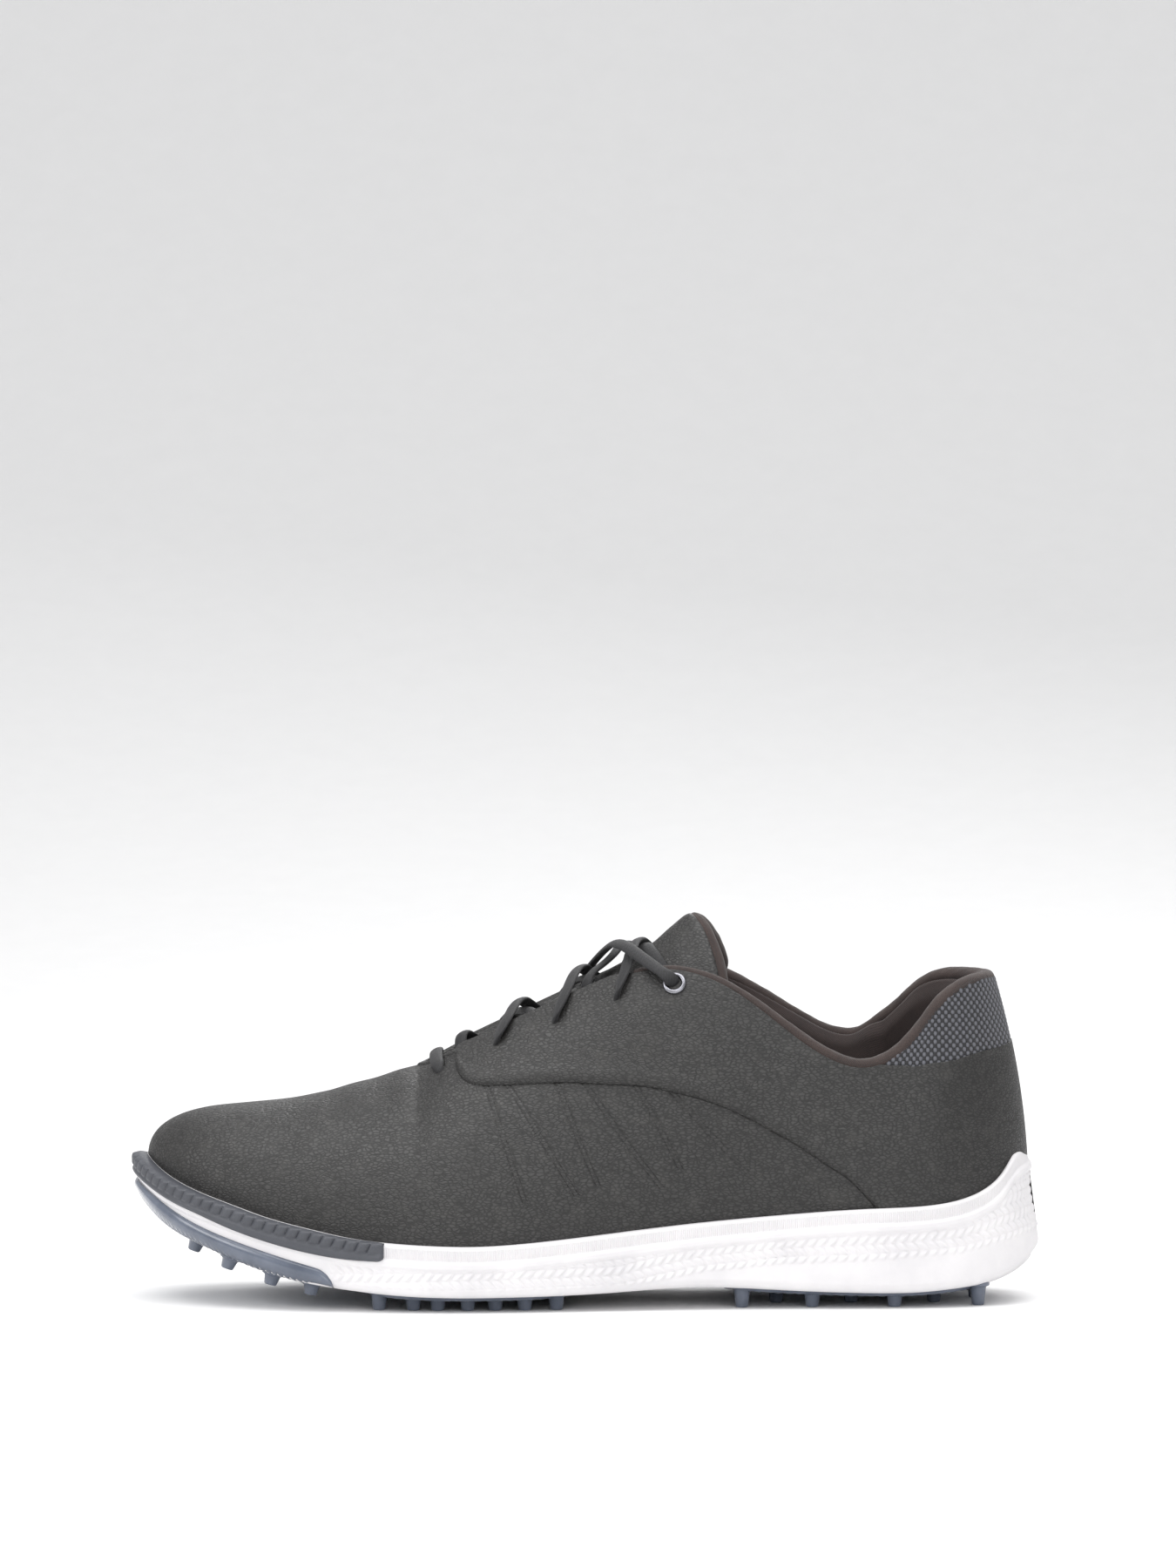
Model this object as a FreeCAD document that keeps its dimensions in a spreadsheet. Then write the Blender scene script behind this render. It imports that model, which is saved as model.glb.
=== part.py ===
import FreeCAD, Part

# Left golf shoe, in millimetres: +Z up, toe towards -X, lateral side towards -Y.
# The origin is the middle of the bounding box's footprint, on the ground under the nub tips.
#
# The upper hangs on one form, the lasted surface. A point of the form is named by
#   side     -1 lateral, +1 medial
#   station  0 at the toe tip to pi at the back of the heel
#   rise     0 at the feather line, on the footbed, to 1 at the top edge
# and each piece of the upper is a patch of that form between two depths under its surface.

import math
import os

import Sketcher
from FreeCAD import Placement, Rotation, Vector

LATERAL = -1
MEDIAL = 1
SIDES = (LATERAL, MEDIAL)
UP = Vector(0, 0, 1)

doc = FreeCAD.newDocument("golf_shoe")


# ---------------------------------------------------------------- driving dimensions

sheet = doc.addObject("Spreadsheet::Sheet", "sizes")

SIZES = {
    "shoe_length": 301.6,
    "shoe_width": 108.0,
    "tongue_height": 128.3,
    "feather_inset": 7.0,
    "rim_gap": 0.4,
    "leather_thickness": 1.4,
    "overlay_gap": 0.1,
    "lining_thickness": 0.8,
    "lining_depth": 1.8,
    "toe_puff_thickness": 0.8,
    "counter_thickness": 1.2,
    "collar_padding": 4.2,
    "stay_thickness": 1.1,
    "layer_gap": 0.2,
    "board_thickness": 1.6,
    "shank_length": 88.0,
    "shank_width": 17.0,
    "shank_thickness": 1.4,
    "insole_thickness": 4.0,
    "insole_cloth": 0.9,
    "insole_clearance": 2.4,
    "plate_thickness": 1.2,
    "plate_margin": 5.0,
    "toe_plate_thickness": 6.2,
    "nub_base_radius": 2.75,
    "nub_tip_radius": 2.0,
    "toe_nub_height": 4.0,
    "binding_height": 3.4,
    "binding_width": 4.6,
    "tongue_padding": 3.4,
    "tongue_cloth": 0.9,
    "tongue_clearance": 1.4,
    "tongue_binding_radius": 2.1,
    "lace_diameter": 2.6,
    "lace_clearance": 0.6,
    "eyelet_flange_radius": 3.1,
    "eyelet_wall": 0.35,
    "flange_thickness": 0.6,
    "ring_radius": 3.1,
    "ring_wire_radius": 0.85,
    "washer_radius": 5.3,
    "washer_thickness": 0.7,
    "aglet_length": 13.0,
    "aglet_wall": 0.3,
}

for row, (alias, value) in enumerate(SIZES.items(), start=1):
    sheet.set("A%d" % row, alias.replace("_", " "))
    sheet.set("B%d" % row, str(value))
    sheet.setAlias("B%d" % row, alias)
doc.recompute()


def size(alias):
    """A driving dimension, read from the sheet."""
    return float(sheet.get(alias))


# The profiles below are drawn at this size, and stretch with the sheet's three overall sizes.
DRAWN_LENGTH = 301.6
DRAWN_WIDTH = 108.0
DRAWN_HEIGHT = 128.3
SX = size("shoe_length") / DRAWN_LENGTH
SY = size("shoe_width") / DRAWN_WIDTH
SZ = size("tongue_height") / DRAWN_HEIGHT
TOE_X = -size("shoe_length") / 2
HEEL_X = size("shoe_length") / 2


# ---------------------------------------------------------------- smooth curves through points

def spline(points):
    """A natural cubic spline through (place, value) points, held level past its ends."""
    place = [p[0] for p in points]
    value = [p[1] for p in points]
    count = len(points)
    step = [place[i + 1] - place[i] for i in range(count - 1)]
    bend = [0.0] * count
    pivot = [1.0] * count
    right = [0.0] * count
    for i in range(1, count - 1):
        slope_change = (value[i + 1] - value[i]) / step[i] - (value[i] - value[i - 1]) / step[i - 1]
        share = step[i - 1] / pivot[i - 1] if i > 1 else 0.0
        pivot[i] = 2 * (step[i - 1] + step[i]) - share * (step[i - 1] if i > 1 else 0.0)
        right[i] = 6 * slope_change - share * right[i - 1]
    for i in range(count - 2, 0, -1):
        bend[i] = (right[i] - step[i] * bend[i + 1]) / pivot[i]

    def curve(at):
        at = min(max(at, place[0]), place[-1])
        i = 0
        while i < count - 2 and at > place[i + 1]:
            i += 1
        back = place[i + 1] - at
        ahead = at - place[i]
        cubic = (bend[i] * back ** 3 + bend[i + 1] * ahead ** 3) / (6 * step[i])
        near = (value[i] / step[i] - bend[i] * step[i] / 6) * back
        far = (value[i + 1] / step[i] - bend[i + 1] * step[i] / 6) * ahead
        return cubic + near + far

    return curve


def monotone(points):
    """A curve through (place, value) points that never swings past a point, for panel edges."""
    place = [p[0] for p in points]
    value = [p[1] for p in points]
    count = len(points)
    chord = [(value[i + 1] - value[i]) / (place[i + 1] - place[i]) for i in range(count - 1)]
    slope = [chord[0]] + [0.0] * (count - 2) + [chord[-1]]
    for i in range(1, count - 1):
        if chord[i - 1] * chord[i] > 0:
            slope[i] = 2 * chord[i - 1] * chord[i] / (chord[i - 1] + chord[i])

    def curve(at):
        at = min(max(at, place[0]), place[-1])
        i = 0
        while i < count - 2 and at > place[i + 1]:
            i += 1
        width = place[i + 1] - place[i]
        s = (at - place[i]) / width
        start = value[i] * (1 + 2 * s) * (1 - s) ** 2 + width * slope[i] * s * (1 - s) ** 2
        end = value[i + 1] * s * s * (3 - 2 * s) + width * slope[i + 1] * s * s * (s - 1)
        return start + end

    return curve


def profile(points):
    """A height (mm) over x (mm), drawn at the drawn size and stretched to the sheet's."""
    return spline([(x * SX, z * SZ) for x, z in points])


def blend(low, high, at):
    """0 below low, 1 above high and a smooth step between."""
    share = min(max((at - low) / (high - low), 0.0), 1.0)
    return share * share * (3 - 2 * share)


# ---------------------------------------------------------------- side profiles, (x, z)

SOLE_BOTTOM = profile([
    (-150.8, 34.4), (-143.6, 27.7), (-129, 20.2), (-108.8, 12.9), (-94, 9.2), (-80, 7.2), (-66, 5.8),
    (-50, 5.0), (-22, 5.0), (7, 5.9), (36, 7.3), (65, 6.1), (94, 5.1), (109, 5.2), (123, 6.3),
    (138, 9.2), (145, 12.7), (150.8, 17.0)])
FOOTBED = profile([
    (-150.8, 42), (-140, 37), (-120, 29.8), (-100, 24.2), (-80, 19.8), (-60, 17.0), (-40, 15.6),
    (-20, 15.6), (0, 16.6), (20, 18), (50, 21), (80, 23), (110, 24), (150.8, 25)])
RIM_TOP = profile([
    (-150.8, 47.6), (-143.5, 42.6), (-137.8, 39.8), (-120, 33.8), (-108.8, 30.3), (-94, 26.9),
    (-80, 24.2), (-65, 22.6), (-50, 21.8), (-36, 21.6), (-22, 22.3), (7, 25.2), (36, 28.4), (65, 31),
    (94, 33), (116, 34.2), (126, 36), (134, 39), (140, 43.5), (144, 48.0), (150.8, 51)])
GUARD_BOTTOM = profile([
    (-150.8, 41.2), (-137.8, 33.9), (-129, 30.5), (-120.4, 27.1), (-108.8, 23.3), (-94, 19.7),
    (-80, 17.6), (-67, 17.0), (-50, 17.0)])
RIDGE = profile([
    (-150.8, 56), (-138, 60.3), (-120, 62.7), (-108.8, 63.7), (-97, 65.1), (-80, 69.1), (-68, 72.6),
    (-58, 75.6), (-48, 78)])
HEEL_BACK = [(150.9, 15), (149.6, 25), (148.0, 33), (147.0, 42), (144.2, 50), (140.5, 58)]
GUARD_END = -67.0 * SX
TOE_PLATE_END = -85.0 * SX


# ---------------------------------------------------------------- the sole's outline, (x, y)

def turn(x):
    """The station of a place x along the outline."""
    return math.acos(max(-1.0, min(1.0, x / TOE_X)))


LATERAL_OUTLINE = [
    (-150.8, 12), (-146, -6), (-134, -22), (-112, -37), (-85, -48), (-50, -54), (-15, -51),
    (20, -44.5), (55, -40), (90, -39), (120, -35), (140, -23), (150.8, 2)]
MEDIAL_OUTLINE = [
    (-150.8, 12), (-147, 28), (-136, 40), (-112, 50), (-80, 54), (-50, 50.5), (-15, 42.5), (20, 38),
    (55, 39), (90, 41.5), (120, 38.5), (140, 27), (150.8, 2)]
OUTLINE_Y = {
    LATERAL: spline([(turn(x * SX), y * SY) for x, y in LATERAL_OUTLINE]),
    MEDIAL: spline([(turn(x * SX), y * SY) for x, y in MEDIAL_OUTLINE])}
NUDGE = 1e-3


def outline(side, station):
    """A point of the sole's outline, at z 0."""
    return Vector(TOE_X * math.cos(station), OUTLINE_Y[side](station), 0)


def outward(side, station):
    """The outline's level outward direction."""
    if station < 2 * NUDGE:
        return Vector(-1, 0, 0)
    if station > math.pi - 2 * NUDGE:
        return Vector(1, 0, 0)
    along = outline(side, station + NUDGE) - outline(side, station - NUDGE)
    across = Vector(-along.y, along.x, 0)
    across.normalize()
    return across if across.y * side > 0 else across * -1


# ---------------------------------------------------------------- the lasted form

# One rib of the form to a line: x on the outline, then the top edge's x, its distance from the
# middle and its height, then how steeply the rib leaves the footbed and meets the top edge
# (degrees), each with its pull. A height of None lies on the ridge.
RIBS = [
    (-150.8, -118, 0, None, 68, 0.66, 0, 0.65),
    (-146, -117.5, 0, None, 69, 0.64, 0, 0.62),
    (-136, -114, 0, None, 71, 0.60, 0, 0.58),
    (-120, -105.5, 0, None, 75, 0.54, 0, 0.52),
    (-100, -91, 0, None, 79, 0.48, 0, 0.46),
    (-82, -77, 0, None, 82, 0.45, 0, 0.41),
    (-68, -65.5, 0, None, 83, 0.43, 2, 0.38),
    (-58, -56, 0, None, 84, 0.43, 6, 0.36),
    (-53, -51.5, 6.4, 77.9, 84, 0.42, 14, 0.34),
    (-46, -46, 10.6, 80.7, 85, 0.42, 21, 0.32),
    (-16, -16, 14, 95.3, 86, 0.41, 35, 0.26),
    (8, 8, 16.5, 106.4, 86, 0.40, 41, 0.24),
    (22, 23, 19.5, 111.2, 85, 0.39, 47, 0.24),
    (33, 36, 23.2, 110.6, 84, 0.38, 56, 0.26),
    (46, 50.8, 27, 104.3, 82, 0.37, 66, 0.28),
    (58, 65, 30, 94.4, 80, 0.36, 74, 0.30),
    (70, 77, 32.5, 86.3, 79, 0.35, 78, 0.31),
    (82, 89, 33, 81.8, 79, 0.35, 79, 0.32),
    (93, 99, 31.8, 84, 79, 0.35, 79, 0.32),
    (105, 108, 29, 91.5, 80, 0.34, 78, 0.32),
    (118, 116, 24.5, 101.8, 82, 0.34, 76, 0.33),
    (131, 124.5, 17, 107.8, 85, 0.33, 74, 0.34),
    (143, 130.5, 8, 109.1, 87, 0.33, 73, 0.345),
    (150.8, 132, 0, 109.2, 88, 0.33, 72.6, 0.345)]
RIB_STATIONS = [turn(rib[0] * SX) for rib in RIBS]
THROAT = RIB_STATIONS[7]


def rib_curve(values):
    """A spline over the ribs' stations."""
    return spline(list(zip(RIB_STATIONS, values)))


def rib_height(rib):
    """The top edge's height at a rib of the table."""
    return RIDGE(rib[1] * SX) if rib[3] is None else rib[3] * SZ


EDGE_X = rib_curve([rib[1] * SX for rib in RIBS])
EDGE_GAP = rib_curve([rib[2] * SY for rib in RIBS])
EDGE_Z = rib_curve([rib_height(rib) for rib in RIBS])
FOOT_SLOPE = rib_curve([rib[4] for rib in RIBS])
FOOT_PULL = rib_curve([rib[5] for rib in RIBS])
EDGE_SLOPE = rib_curve([rib[6] for rib in RIBS])
EDGE_PULL = rib_curve([rib[7] for rib in RIBS])

# The medial collar stands a little higher and further forward than the lateral one.
MEDIAL_LIFT = monotone([
    (x * SX, z * SZ) for x, z in
    [(-60, 0), (20, 0), (50, 1.5), (75, 4), (90, 5.5), (105, 6), (118, 3), (132, 0), (150.8, 0)]])
MEDIAL_SHIFT = monotone([
    (x * SX, shift * SX) for x, shift in
    [(-60, 0), (60, 0), (90, -2), (105, -4), (116, -3.6), (127, -1), (132, 0), (150.8, 0)]])


def middle(x):
    """The y of the last's middle line, which toes in slightly."""
    return (6 - 0.0267 * x / SX) * SY


def top_edge(side, station):
    """The form's top edge: the ridge ahead of the throat, then the throat and collar line."""
    x = EDGE_X(station)
    if station <= THROAT:
        return Vector(x, middle(x), RIDGE(x))
    z = EDGE_Z(station)
    gap = max(EDGE_GAP(station), 0.0)
    if side == MEDIAL:
        z += MEDIAL_LIFT(x)
        x += MEDIAL_SHIFT(x)
    return Vector(x, middle(x) + side * gap, z)


def feather(side, station):
    """The form's lower edge, on the footbed, inside the rim."""
    point = outline(side, station) - outward(side, station) * size("feather_inset")
    return Vector(point.x, point.y, FOOTBED(point.x) + size("layer_gap"))


def rib(side, station):
    """The four control points of the form's rib at a station."""
    foot = feather(side, station)
    edge = top_edge(side, station)
    out = outward(side, station)
    slope = math.radians(FOOT_SLOPE(station))
    lift = Vector(out.x * math.cos(slope), out.y * math.cos(slope), math.sin(slope))
    down = Vector(foot.x - edge.x, foot.y - edge.y, 0)
    down.normalize()
    fall = math.radians(max(EDGE_SLOPE(station), 0.0))
    ridge_slope = (RIDGE(edge.x + 1) - RIDGE(edge.x - 1)) / 2
    ahead_of_throat = 1 - blend(THROAT, THROAT + 0.25, station)
    arrive = Vector(down.x * math.cos(fall), down.y * math.cos(fall),
                    ahead_of_throat * ridge_slope * down.x - math.sin(fall))
    return (foot, foot + lift * (FOOT_PULL(station) * (edge.z - foot.z)),
            edge + arrive * (EDGE_PULL(station) * (edge - foot).Length), edge)


def form(side, station, rise):
    """A point of the lasted form."""
    foot, low, high, edge = rib(side, station)
    fall = 1 - rise
    return (foot * fall ** 3 + low * (3 * fall * fall * rise)
            + high * (3 * fall * rise * rise) + edge * rise ** 3)


def facing(side, station, rise):
    """The form's outward normal on one side, from its two slopes."""
    station = min(max(station, 2 * NUDGE), math.pi - 2 * NUDGE)
    rise = min(max(rise, NUDGE), 1 - NUDGE)
    along = form(side, station + NUDGE, rise) - form(side, station - NUDGE, rise)
    upward = form(side, station, rise + NUDGE) - form(side, station, rise - NUDGE)
    normal = along.cross(upward) * -side
    normal.normalize()
    return normal


def normal(side, station, rise):
    """The form's outward normal, shared by both sides where they meet."""
    here = facing(side, station, rise)
    at_an_end = station < NUDGE or station > math.pi - NUDGE
    on_the_ridge = rise > 1 - NUDGE and station < THROAT + NUDGE
    if at_an_end or on_the_ridge:
        here = here + facing(-side, station, rise)
        here.normalize()
    return here


def under(side, station, rise, depth):
    """A point at a depth under the form. A depth below 0 stands out of it."""
    return form(side, station, rise) - normal(side, station, rise) * depth


def station_at(x):
    """The station whose rib meets the lateral top edge at x."""
    low = 0.0
    high = math.pi
    for _ in range(40):
        mid = (low + high) / 2
        if EDGE_X(mid) < x:
            low = mid
        else:
            high = mid
    return (low + high) / 2


def rise_at(side, station, z):
    """The rise at which a rib reaches height z."""
    low = 0.0
    high = 1.0
    for _ in range(30):
        mid = (low + high) / 2
        if form(side, station, mid).z < z:
            low = mid
        else:
            high = mid
    return (low + high) / 2


def locate(side, x, z):
    """The (station, rise) of the form's point at x and z of the drawn side view."""
    low = 0.02
    high = math.pi
    for _ in range(30):
        mid = (low + high) / 2
        if form(side, mid, rise_at(side, mid, z * SZ)).x < x * SX:
            low = mid
        else:
            high = mid
    return (low + high) / 2, rise_at(side, (low + high) / 2, z * SZ)


def drop(side, station, distance):
    """The rise that lies a distance (mm) down the rib from its top edge."""
    foot, low, high, edge = rib(side, station)
    return 1 - distance / (3 * (edge - high).Length)


# ---------------------------------------------------------------- panel edges on the form

QUARTER_EDGE = [
    (-42.1, 80.8), (-41.6, 76.5), (-38.5, 73.4), (-33, 72.8), (-21.8, 73.5), (-5, 74.5), (9.6, 74.1),
    (29, 71.8), (40.6, 68.6), (52.2, 63.7), (65.3, 56.7), (83.8, 45.1), (94.5, 34.9), (103, 26)]
VAMP_REAR_EDGE = [
    (-24, 87), (-14, 82.6), (0, 81.8), (14, 81), (30, 79), (52, 71), (70, 62), (88, 50), (99, 38),
    (107, 27)]
TAB_EDGE = [
    (103, 79.3), (108.8, 79), (121.5, 81.1), (132.2, 83.7), (138.9, 85.6)]


def edge_on_form(points):
    """The rise of a panel edge over the stations, drawn on the lateral side view."""
    return [locate(LATERAL, x, z) for x, z in points]


quarter_edge_points = edge_on_form(QUARTER_EDGE)
vamp_edge_points = edge_on_form(VAMP_REAR_EDGE)
tab_edge_points = edge_on_form(TAB_EDGE)
QUARTER_START = quarter_edge_points[0][0]
QUARTER_FOOT = quarter_edge_points[-1][0]
VAMP_DIP = station_at(-34 * SX)
VAMP_FOOT = vamp_edge_points[-1][0]
TAB_START = station_at(96 * SX)
COLLAR_START = station_at(13 * SX)
quarter_low = monotone(quarter_edge_points[:-1] + [(QUARTER_FOOT, 0.0), (math.pi, 0.0)])
vamp_rear = monotone([(VAMP_DIP, 1.0)] + vamp_edge_points[:-1] + [(VAMP_FOOT, 0.03)])
SEAM_RISE = 0.004


def lining_depth(side, station, rise):
    """How deep the lining's outer face lies: room for the toe puff, counter and collar padding."""
    toe = 1 - blend(station_at(-104 * SX), station_at(-88 * SX), station)
    heel = blend(station_at(28 * SX), station_at(58 * SX), station)
    padded = blend(station_at(38 * SX), station_at(72 * SX), station)
    swell = blend(0.5, 0.82, rise) * (1 - 0.75 * blend(0.9, 1.0, rise))
    return (size("lining_depth")
            + toe * size("toe_puff_thickness")
            + heel * size("counter_thickness")
            + padded * swell * size("collar_padding"))


# ---------------------------------------------------------------- solids from patches

def even(count):
    """Evenly spaced parameters for a number of points."""
    return [i / (count - 1) for i in range(count)]


def through(points):
    """The cubic curve through evenly spaced points."""
    curve = Part.BSplineCurve()
    curve.interpolate(Points=points, Parameters=even(len(points)))
    return curve


def smooth_surface(rows):
    """The surface through rows of points. Surfaces that share a row share its curve exactly."""
    along = [through(row) for row in rows]
    across = [through([curve.getPole(i) for curve in along])
              for i in range(1, along[0].NbPoles + 1)]
    poles = [[column.getPole(i) for column in across] for i in range(1, across[0].NbPoles + 1)]
    surface = Part.BSplineSurface()
    surface.buildFromPolesMultsKnots(
        poles, across[0].getMultiplicities(), along[0].getMultiplicities(),
        across[0].getKnots(), along[0].getKnots(), False, False, 3, 3)
    return surface


class Patch:
    """A stretch of the form, station by station, between two rises."""

    def __init__(self, side, start, end, low, high, stations=16, rises=8, crowd=1.0):
        self.side = side
        self.low = low
        self.high = high
        self.rises = rises
        self.stations = [start + (end - start) * (i / stations) ** crowd for i in range(stations + 1)]

    def surface(self, depth):
        """The B-spline surface of the patch at a depth(side, station, rise)."""
        rows = []
        for station in self.stations:
            low = self.low(station)
            high = self.high(station)
            rows.append([])
            for i in range(self.rises + 1):
                rise = low + (high - low) * i / self.rises
                rows[-1].append(under(self.side, station, rise, depth(self.side, station, rise)))
        return smooth_surface(rows)


def rims(surface):
    """The four boundary edges of a surface."""
    u_first, u_last, v_first, v_last = surface.bounds()
    curves = (surface.uIso(u_first), surface.uIso(u_last), surface.vIso(v_first), surface.vIso(v_last))
    return [curve.toShape() for curve in curves]


def middle_of(edge):
    """The point half-way along an edge's parameter."""
    return edge.valueAt((edge.FirstParameter + edge.LastParameter) / 2)


def closed_solid(faces):
    """The solid that sewn faces close."""
    shell = Part.makeShell(faces)
    shell.sewShape()
    solid = Part.makeSolid(shell)
    if solid.Volume < 0:
        solid.reverse()
    return solid


def layer(patches, outer_depth, inner_depth):
    """A sheet of material between two depths, closed along every edge that no patch shares."""
    outer = [patch.surface(outer_depth) for patch in patches]
    inner = [patch.surface(inner_depth) for patch in patches]
    outer_rims = [rims(surface) for surface in outer]
    inner_rims = [rims(surface) for surface in inner]
    middles = [middle_of(edge) for edges in outer_rims for edge in edges]
    faces = [surface.toShape() for surface in outer + inner]
    for edges_out, edges_in in zip(outer_rims, inner_rims):
        for edge_out, edge_in in zip(edges_out, edges_in):
            here = middle_of(edge_out)
            shared = sum(1 for other in middles if (other - here).Length < 1e-4) > 1
            if not shared:
                faces.append(Part.makeRuledSurface(edge_out, edge_in))
    return closed_solid(faces)


def constant(value):
    """A depth or rise that is the same everywhere."""
    return lambda *place: value


def roll(centres, across, upward, half_width, half_height):
    """A round-edged roll through centres, flat at both ends."""
    halves = []
    for first in (0.0, math.pi):
        rows = []
        for i, centre in enumerate(centres):
            rows.append([])
            for k in range(7):
                angle = first + math.pi * k / 6
                rows[-1].append(centre + across[i] * (half_width[i] * math.cos(angle))
                                + upward[i] * (half_height[i] * math.sin(angle)))
        halves.append(smooth_surface(rows))
    faces = [surface.toShape() for surface in halves]
    for end in (0, 1):
        loop = Part.Wire([rims(surface)[end] for surface in halves])
        faces.append(Part.Face(loop))
    return closed_solid(faces)


# ---------------------------------------------------------------- document objects

nodes = []


def name_node(obj, label):
    """Give a finished sub-part the label that names its file."""
    obj.Label = label
    nodes.append(obj)
    return obj


def feature(label, shape):
    """A shaped helper or sub-part that no primitive or sketch suits."""
    obj = doc.addObject("Part::Feature", label)
    obj.Shape = shape
    obj.Placement = Placement()
    return obj


def extrusion(label, face, direction, length, symmetric=False):
    """A face pushed along a direction, by a length that the sheet drives."""
    base = feature(label + "_face", face)
    obj = doc.addObject("Part::Extrusion", label)
    obj.Base = base
    obj.DirMode = "Custom"
    obj.Dir = direction
    obj.Solid = True
    obj.Symmetric = symmetric
    obj.setExpression("LengthFwd", length)
    return obj


def common(label, *shapes):
    """What several objects share."""
    obj = doc.addObject("Part::MultiCommon", label)
    obj.Shapes = list(shapes)
    return obj


def cut(label, base, tool):
    """One object less another."""
    obj = doc.addObject("Part::Cut", label)
    obj.Base = base
    obj.Tool = tool
    return obj


def fuse(label, shapes):
    """Several objects joined."""
    obj = doc.addObject("Part::MultiFuse", label)
    obj.Shapes = list(shapes)
    obj.Refine = False
    return obj


# ---------------------------------------------------------------- the sole

def outline_face(inset, height=0.0):
    """The sole's outline, moved in by an inset, as a level face."""
    count = 28
    points = []
    for i in range(count):
        station = math.pi * i / count
        points.append(outline(LATERAL, station) - outward(LATERAL, station) * inset)
    for i in range(count):
        station = math.pi * (1 - i / count)
        points.append(outline(MEDIAL, station) - outward(MEDIAL, station) * inset)
    curve = Part.BSplineCurve()
    curve.interpolate(Points=[point + UP * height for point in points], PeriodicFlag=True)
    return Part.Face(Part.Wire([curve.toShape()]))


def band_face(lower, upper):
    """A side-view face between two heights over x, lying in the XZ plane."""
    count = 44
    start = TOE_X - 10
    end = HEEL_X + 10
    places = [start + (end - start) * i / count for i in range(count + 1)]
    below = Part.BSplineCurve()
    below.interpolate([Vector(x, 0, lower(x)) for x in places])
    above = Part.BSplineCurve()
    above.interpolate([Vector(x, 0, upper(x)) for x in places])
    edges = [below.toShape(),
             Part.LineSegment(Vector(end, 0, lower(end)), Vector(end, 0, upper(end))).toShape(),
             above.toShape(),
             Part.LineSegment(Vector(start, 0, lower(start)), Vector(start, 0, upper(start))).toShape()]
    return Part.Face(Part.Wire(edges))


def plan(label, inset):
    """The outline moved in by an inset, standing higher than the sole."""
    return extrusion(label, outline_face(inset), UP, "sizes.tongue_height")


def band(label, lower, upper):
    """A side-view band, wider than the sole."""
    face = band_face(lower, upper)
    return extrusion(label, face, Vector(0, 1, 0), "2 * sizes.shoe_width", symmetric=True)


def window(label, start, end):
    """A box that keeps a stretch of x."""
    obj = doc.addObject("Part::Box", label)
    obj.Length = end - start
    obj.setExpression("Width", "2 * sizes.shoe_width")
    obj.setExpression("Height", "sizes.tongue_height")
    obj.Placement = Placement(Vector(start, -size("shoe_width"), -10), Rotation())
    return obj


def shifted(curve, rise):
    """A profile moved up by a rise."""
    return lambda x: curve(x) + rise


def last_block():
    """The upper's outer form and the room above it, which the sole's cavity is cut with."""
    depth = -(size("leather_thickness") + size("overlay_gap") + size("rim_gap"))
    floor = -20.0
    roof = size("tongue_height")
    faces = []
    ends = {floor: [], roof: []}
    for side in SIDES:
        patch = Patch(side, 0.0, math.pi, constant(0.0), constant(0.42), stations=36, rises=6)
        wall = patch.surface(constant(depth))
        faces.append(wall.toShape())
        u_first, u_last, v_first, v_last = wall.bounds()
        for level, iso in ((floor, v_first), (roof, v_last)):
            seam = wall.vIso(iso)
            flat = seam.copy()
            for pole in range(1, flat.NbPoles + 1):
                point = flat.getPole(pole)
                flat.setPole(pole, Vector(point.x, point.y, level))
            faces.append(Part.makeRuledSurface(seam.toShape(), flat.toShape()))
            ends[level].append(flat.toShape())
    for edges in ends.values():
        faces.append(Part.Face(Part.Wire(edges)))
    return closed_solid(faces)


def build_sole():
    """The midsole, its toe guard and the three outsole pods with their nubs."""
    blank = common("sole_blank", plan("sole_plan", 0.0), band("sole_band", SOLE_BOTTOM, RIM_TOP))
    relief = extrusion("heel_relief", heel_relief_face(), Vector(0, 1, 0), "2 * sizes.shoe_width",
                       symmetric=True)
    whole = cut("sole_leaned", blank, relief)
    bed = common("cavity", feature("last_block", last_block()),
                 band("above_footbed", FOOTBED, constant(size("tongue_height"))))
    hollow = cut("sole_cup", whole, bed)
    guard_zone = common("guard_zone", band("guard_band", GUARD_BOTTOM, constant(size("tongue_height"))),
                        window("guard_window", TOE_X - 5, GUARD_END))
    plate_top = shifted(SOLE_BOTTOM, size("toe_plate_thickness"))
    toe_zone = common("toe_plate_zone", band("toe_plate_band", constant(-5.0), plate_top),
                      window("toe_plate_window", TOE_X - 5, TOE_PLATE_END))
    name_node(common("guard", hollow, guard_zone), "toe_guard")
    shank_pocket = build_shank()
    pockets = fuse("sole_pockets", [guard_zone, toe_zone, shank_pocket])
    name_node(cut("midsole_body", hollow, pockets), "midsole")
    toe_plate = common("toe_plate", hollow, toe_zone)
    build_pods(toe_plate)


def heel_relief_face():
    """The side-view face behind the leaning back of the heel cup."""
    back = [Vector(x * SX, 0, z * SZ) for x, z in HEEL_BACK]
    lean = Part.BSplineCurve()
    lean.interpolate(back)
    far = HEEL_X + 20
    corners = [back[-1], Vector(far, 0, back[-1].z), Vector(far, 0, back[0].z), back[0]]
    edges = [lean.toShape()]
    edges += [Part.LineSegment(corners[i], corners[i + 1]).toShape() for i in range(3)]
    return Part.Face(Part.Wire(edges))


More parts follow.
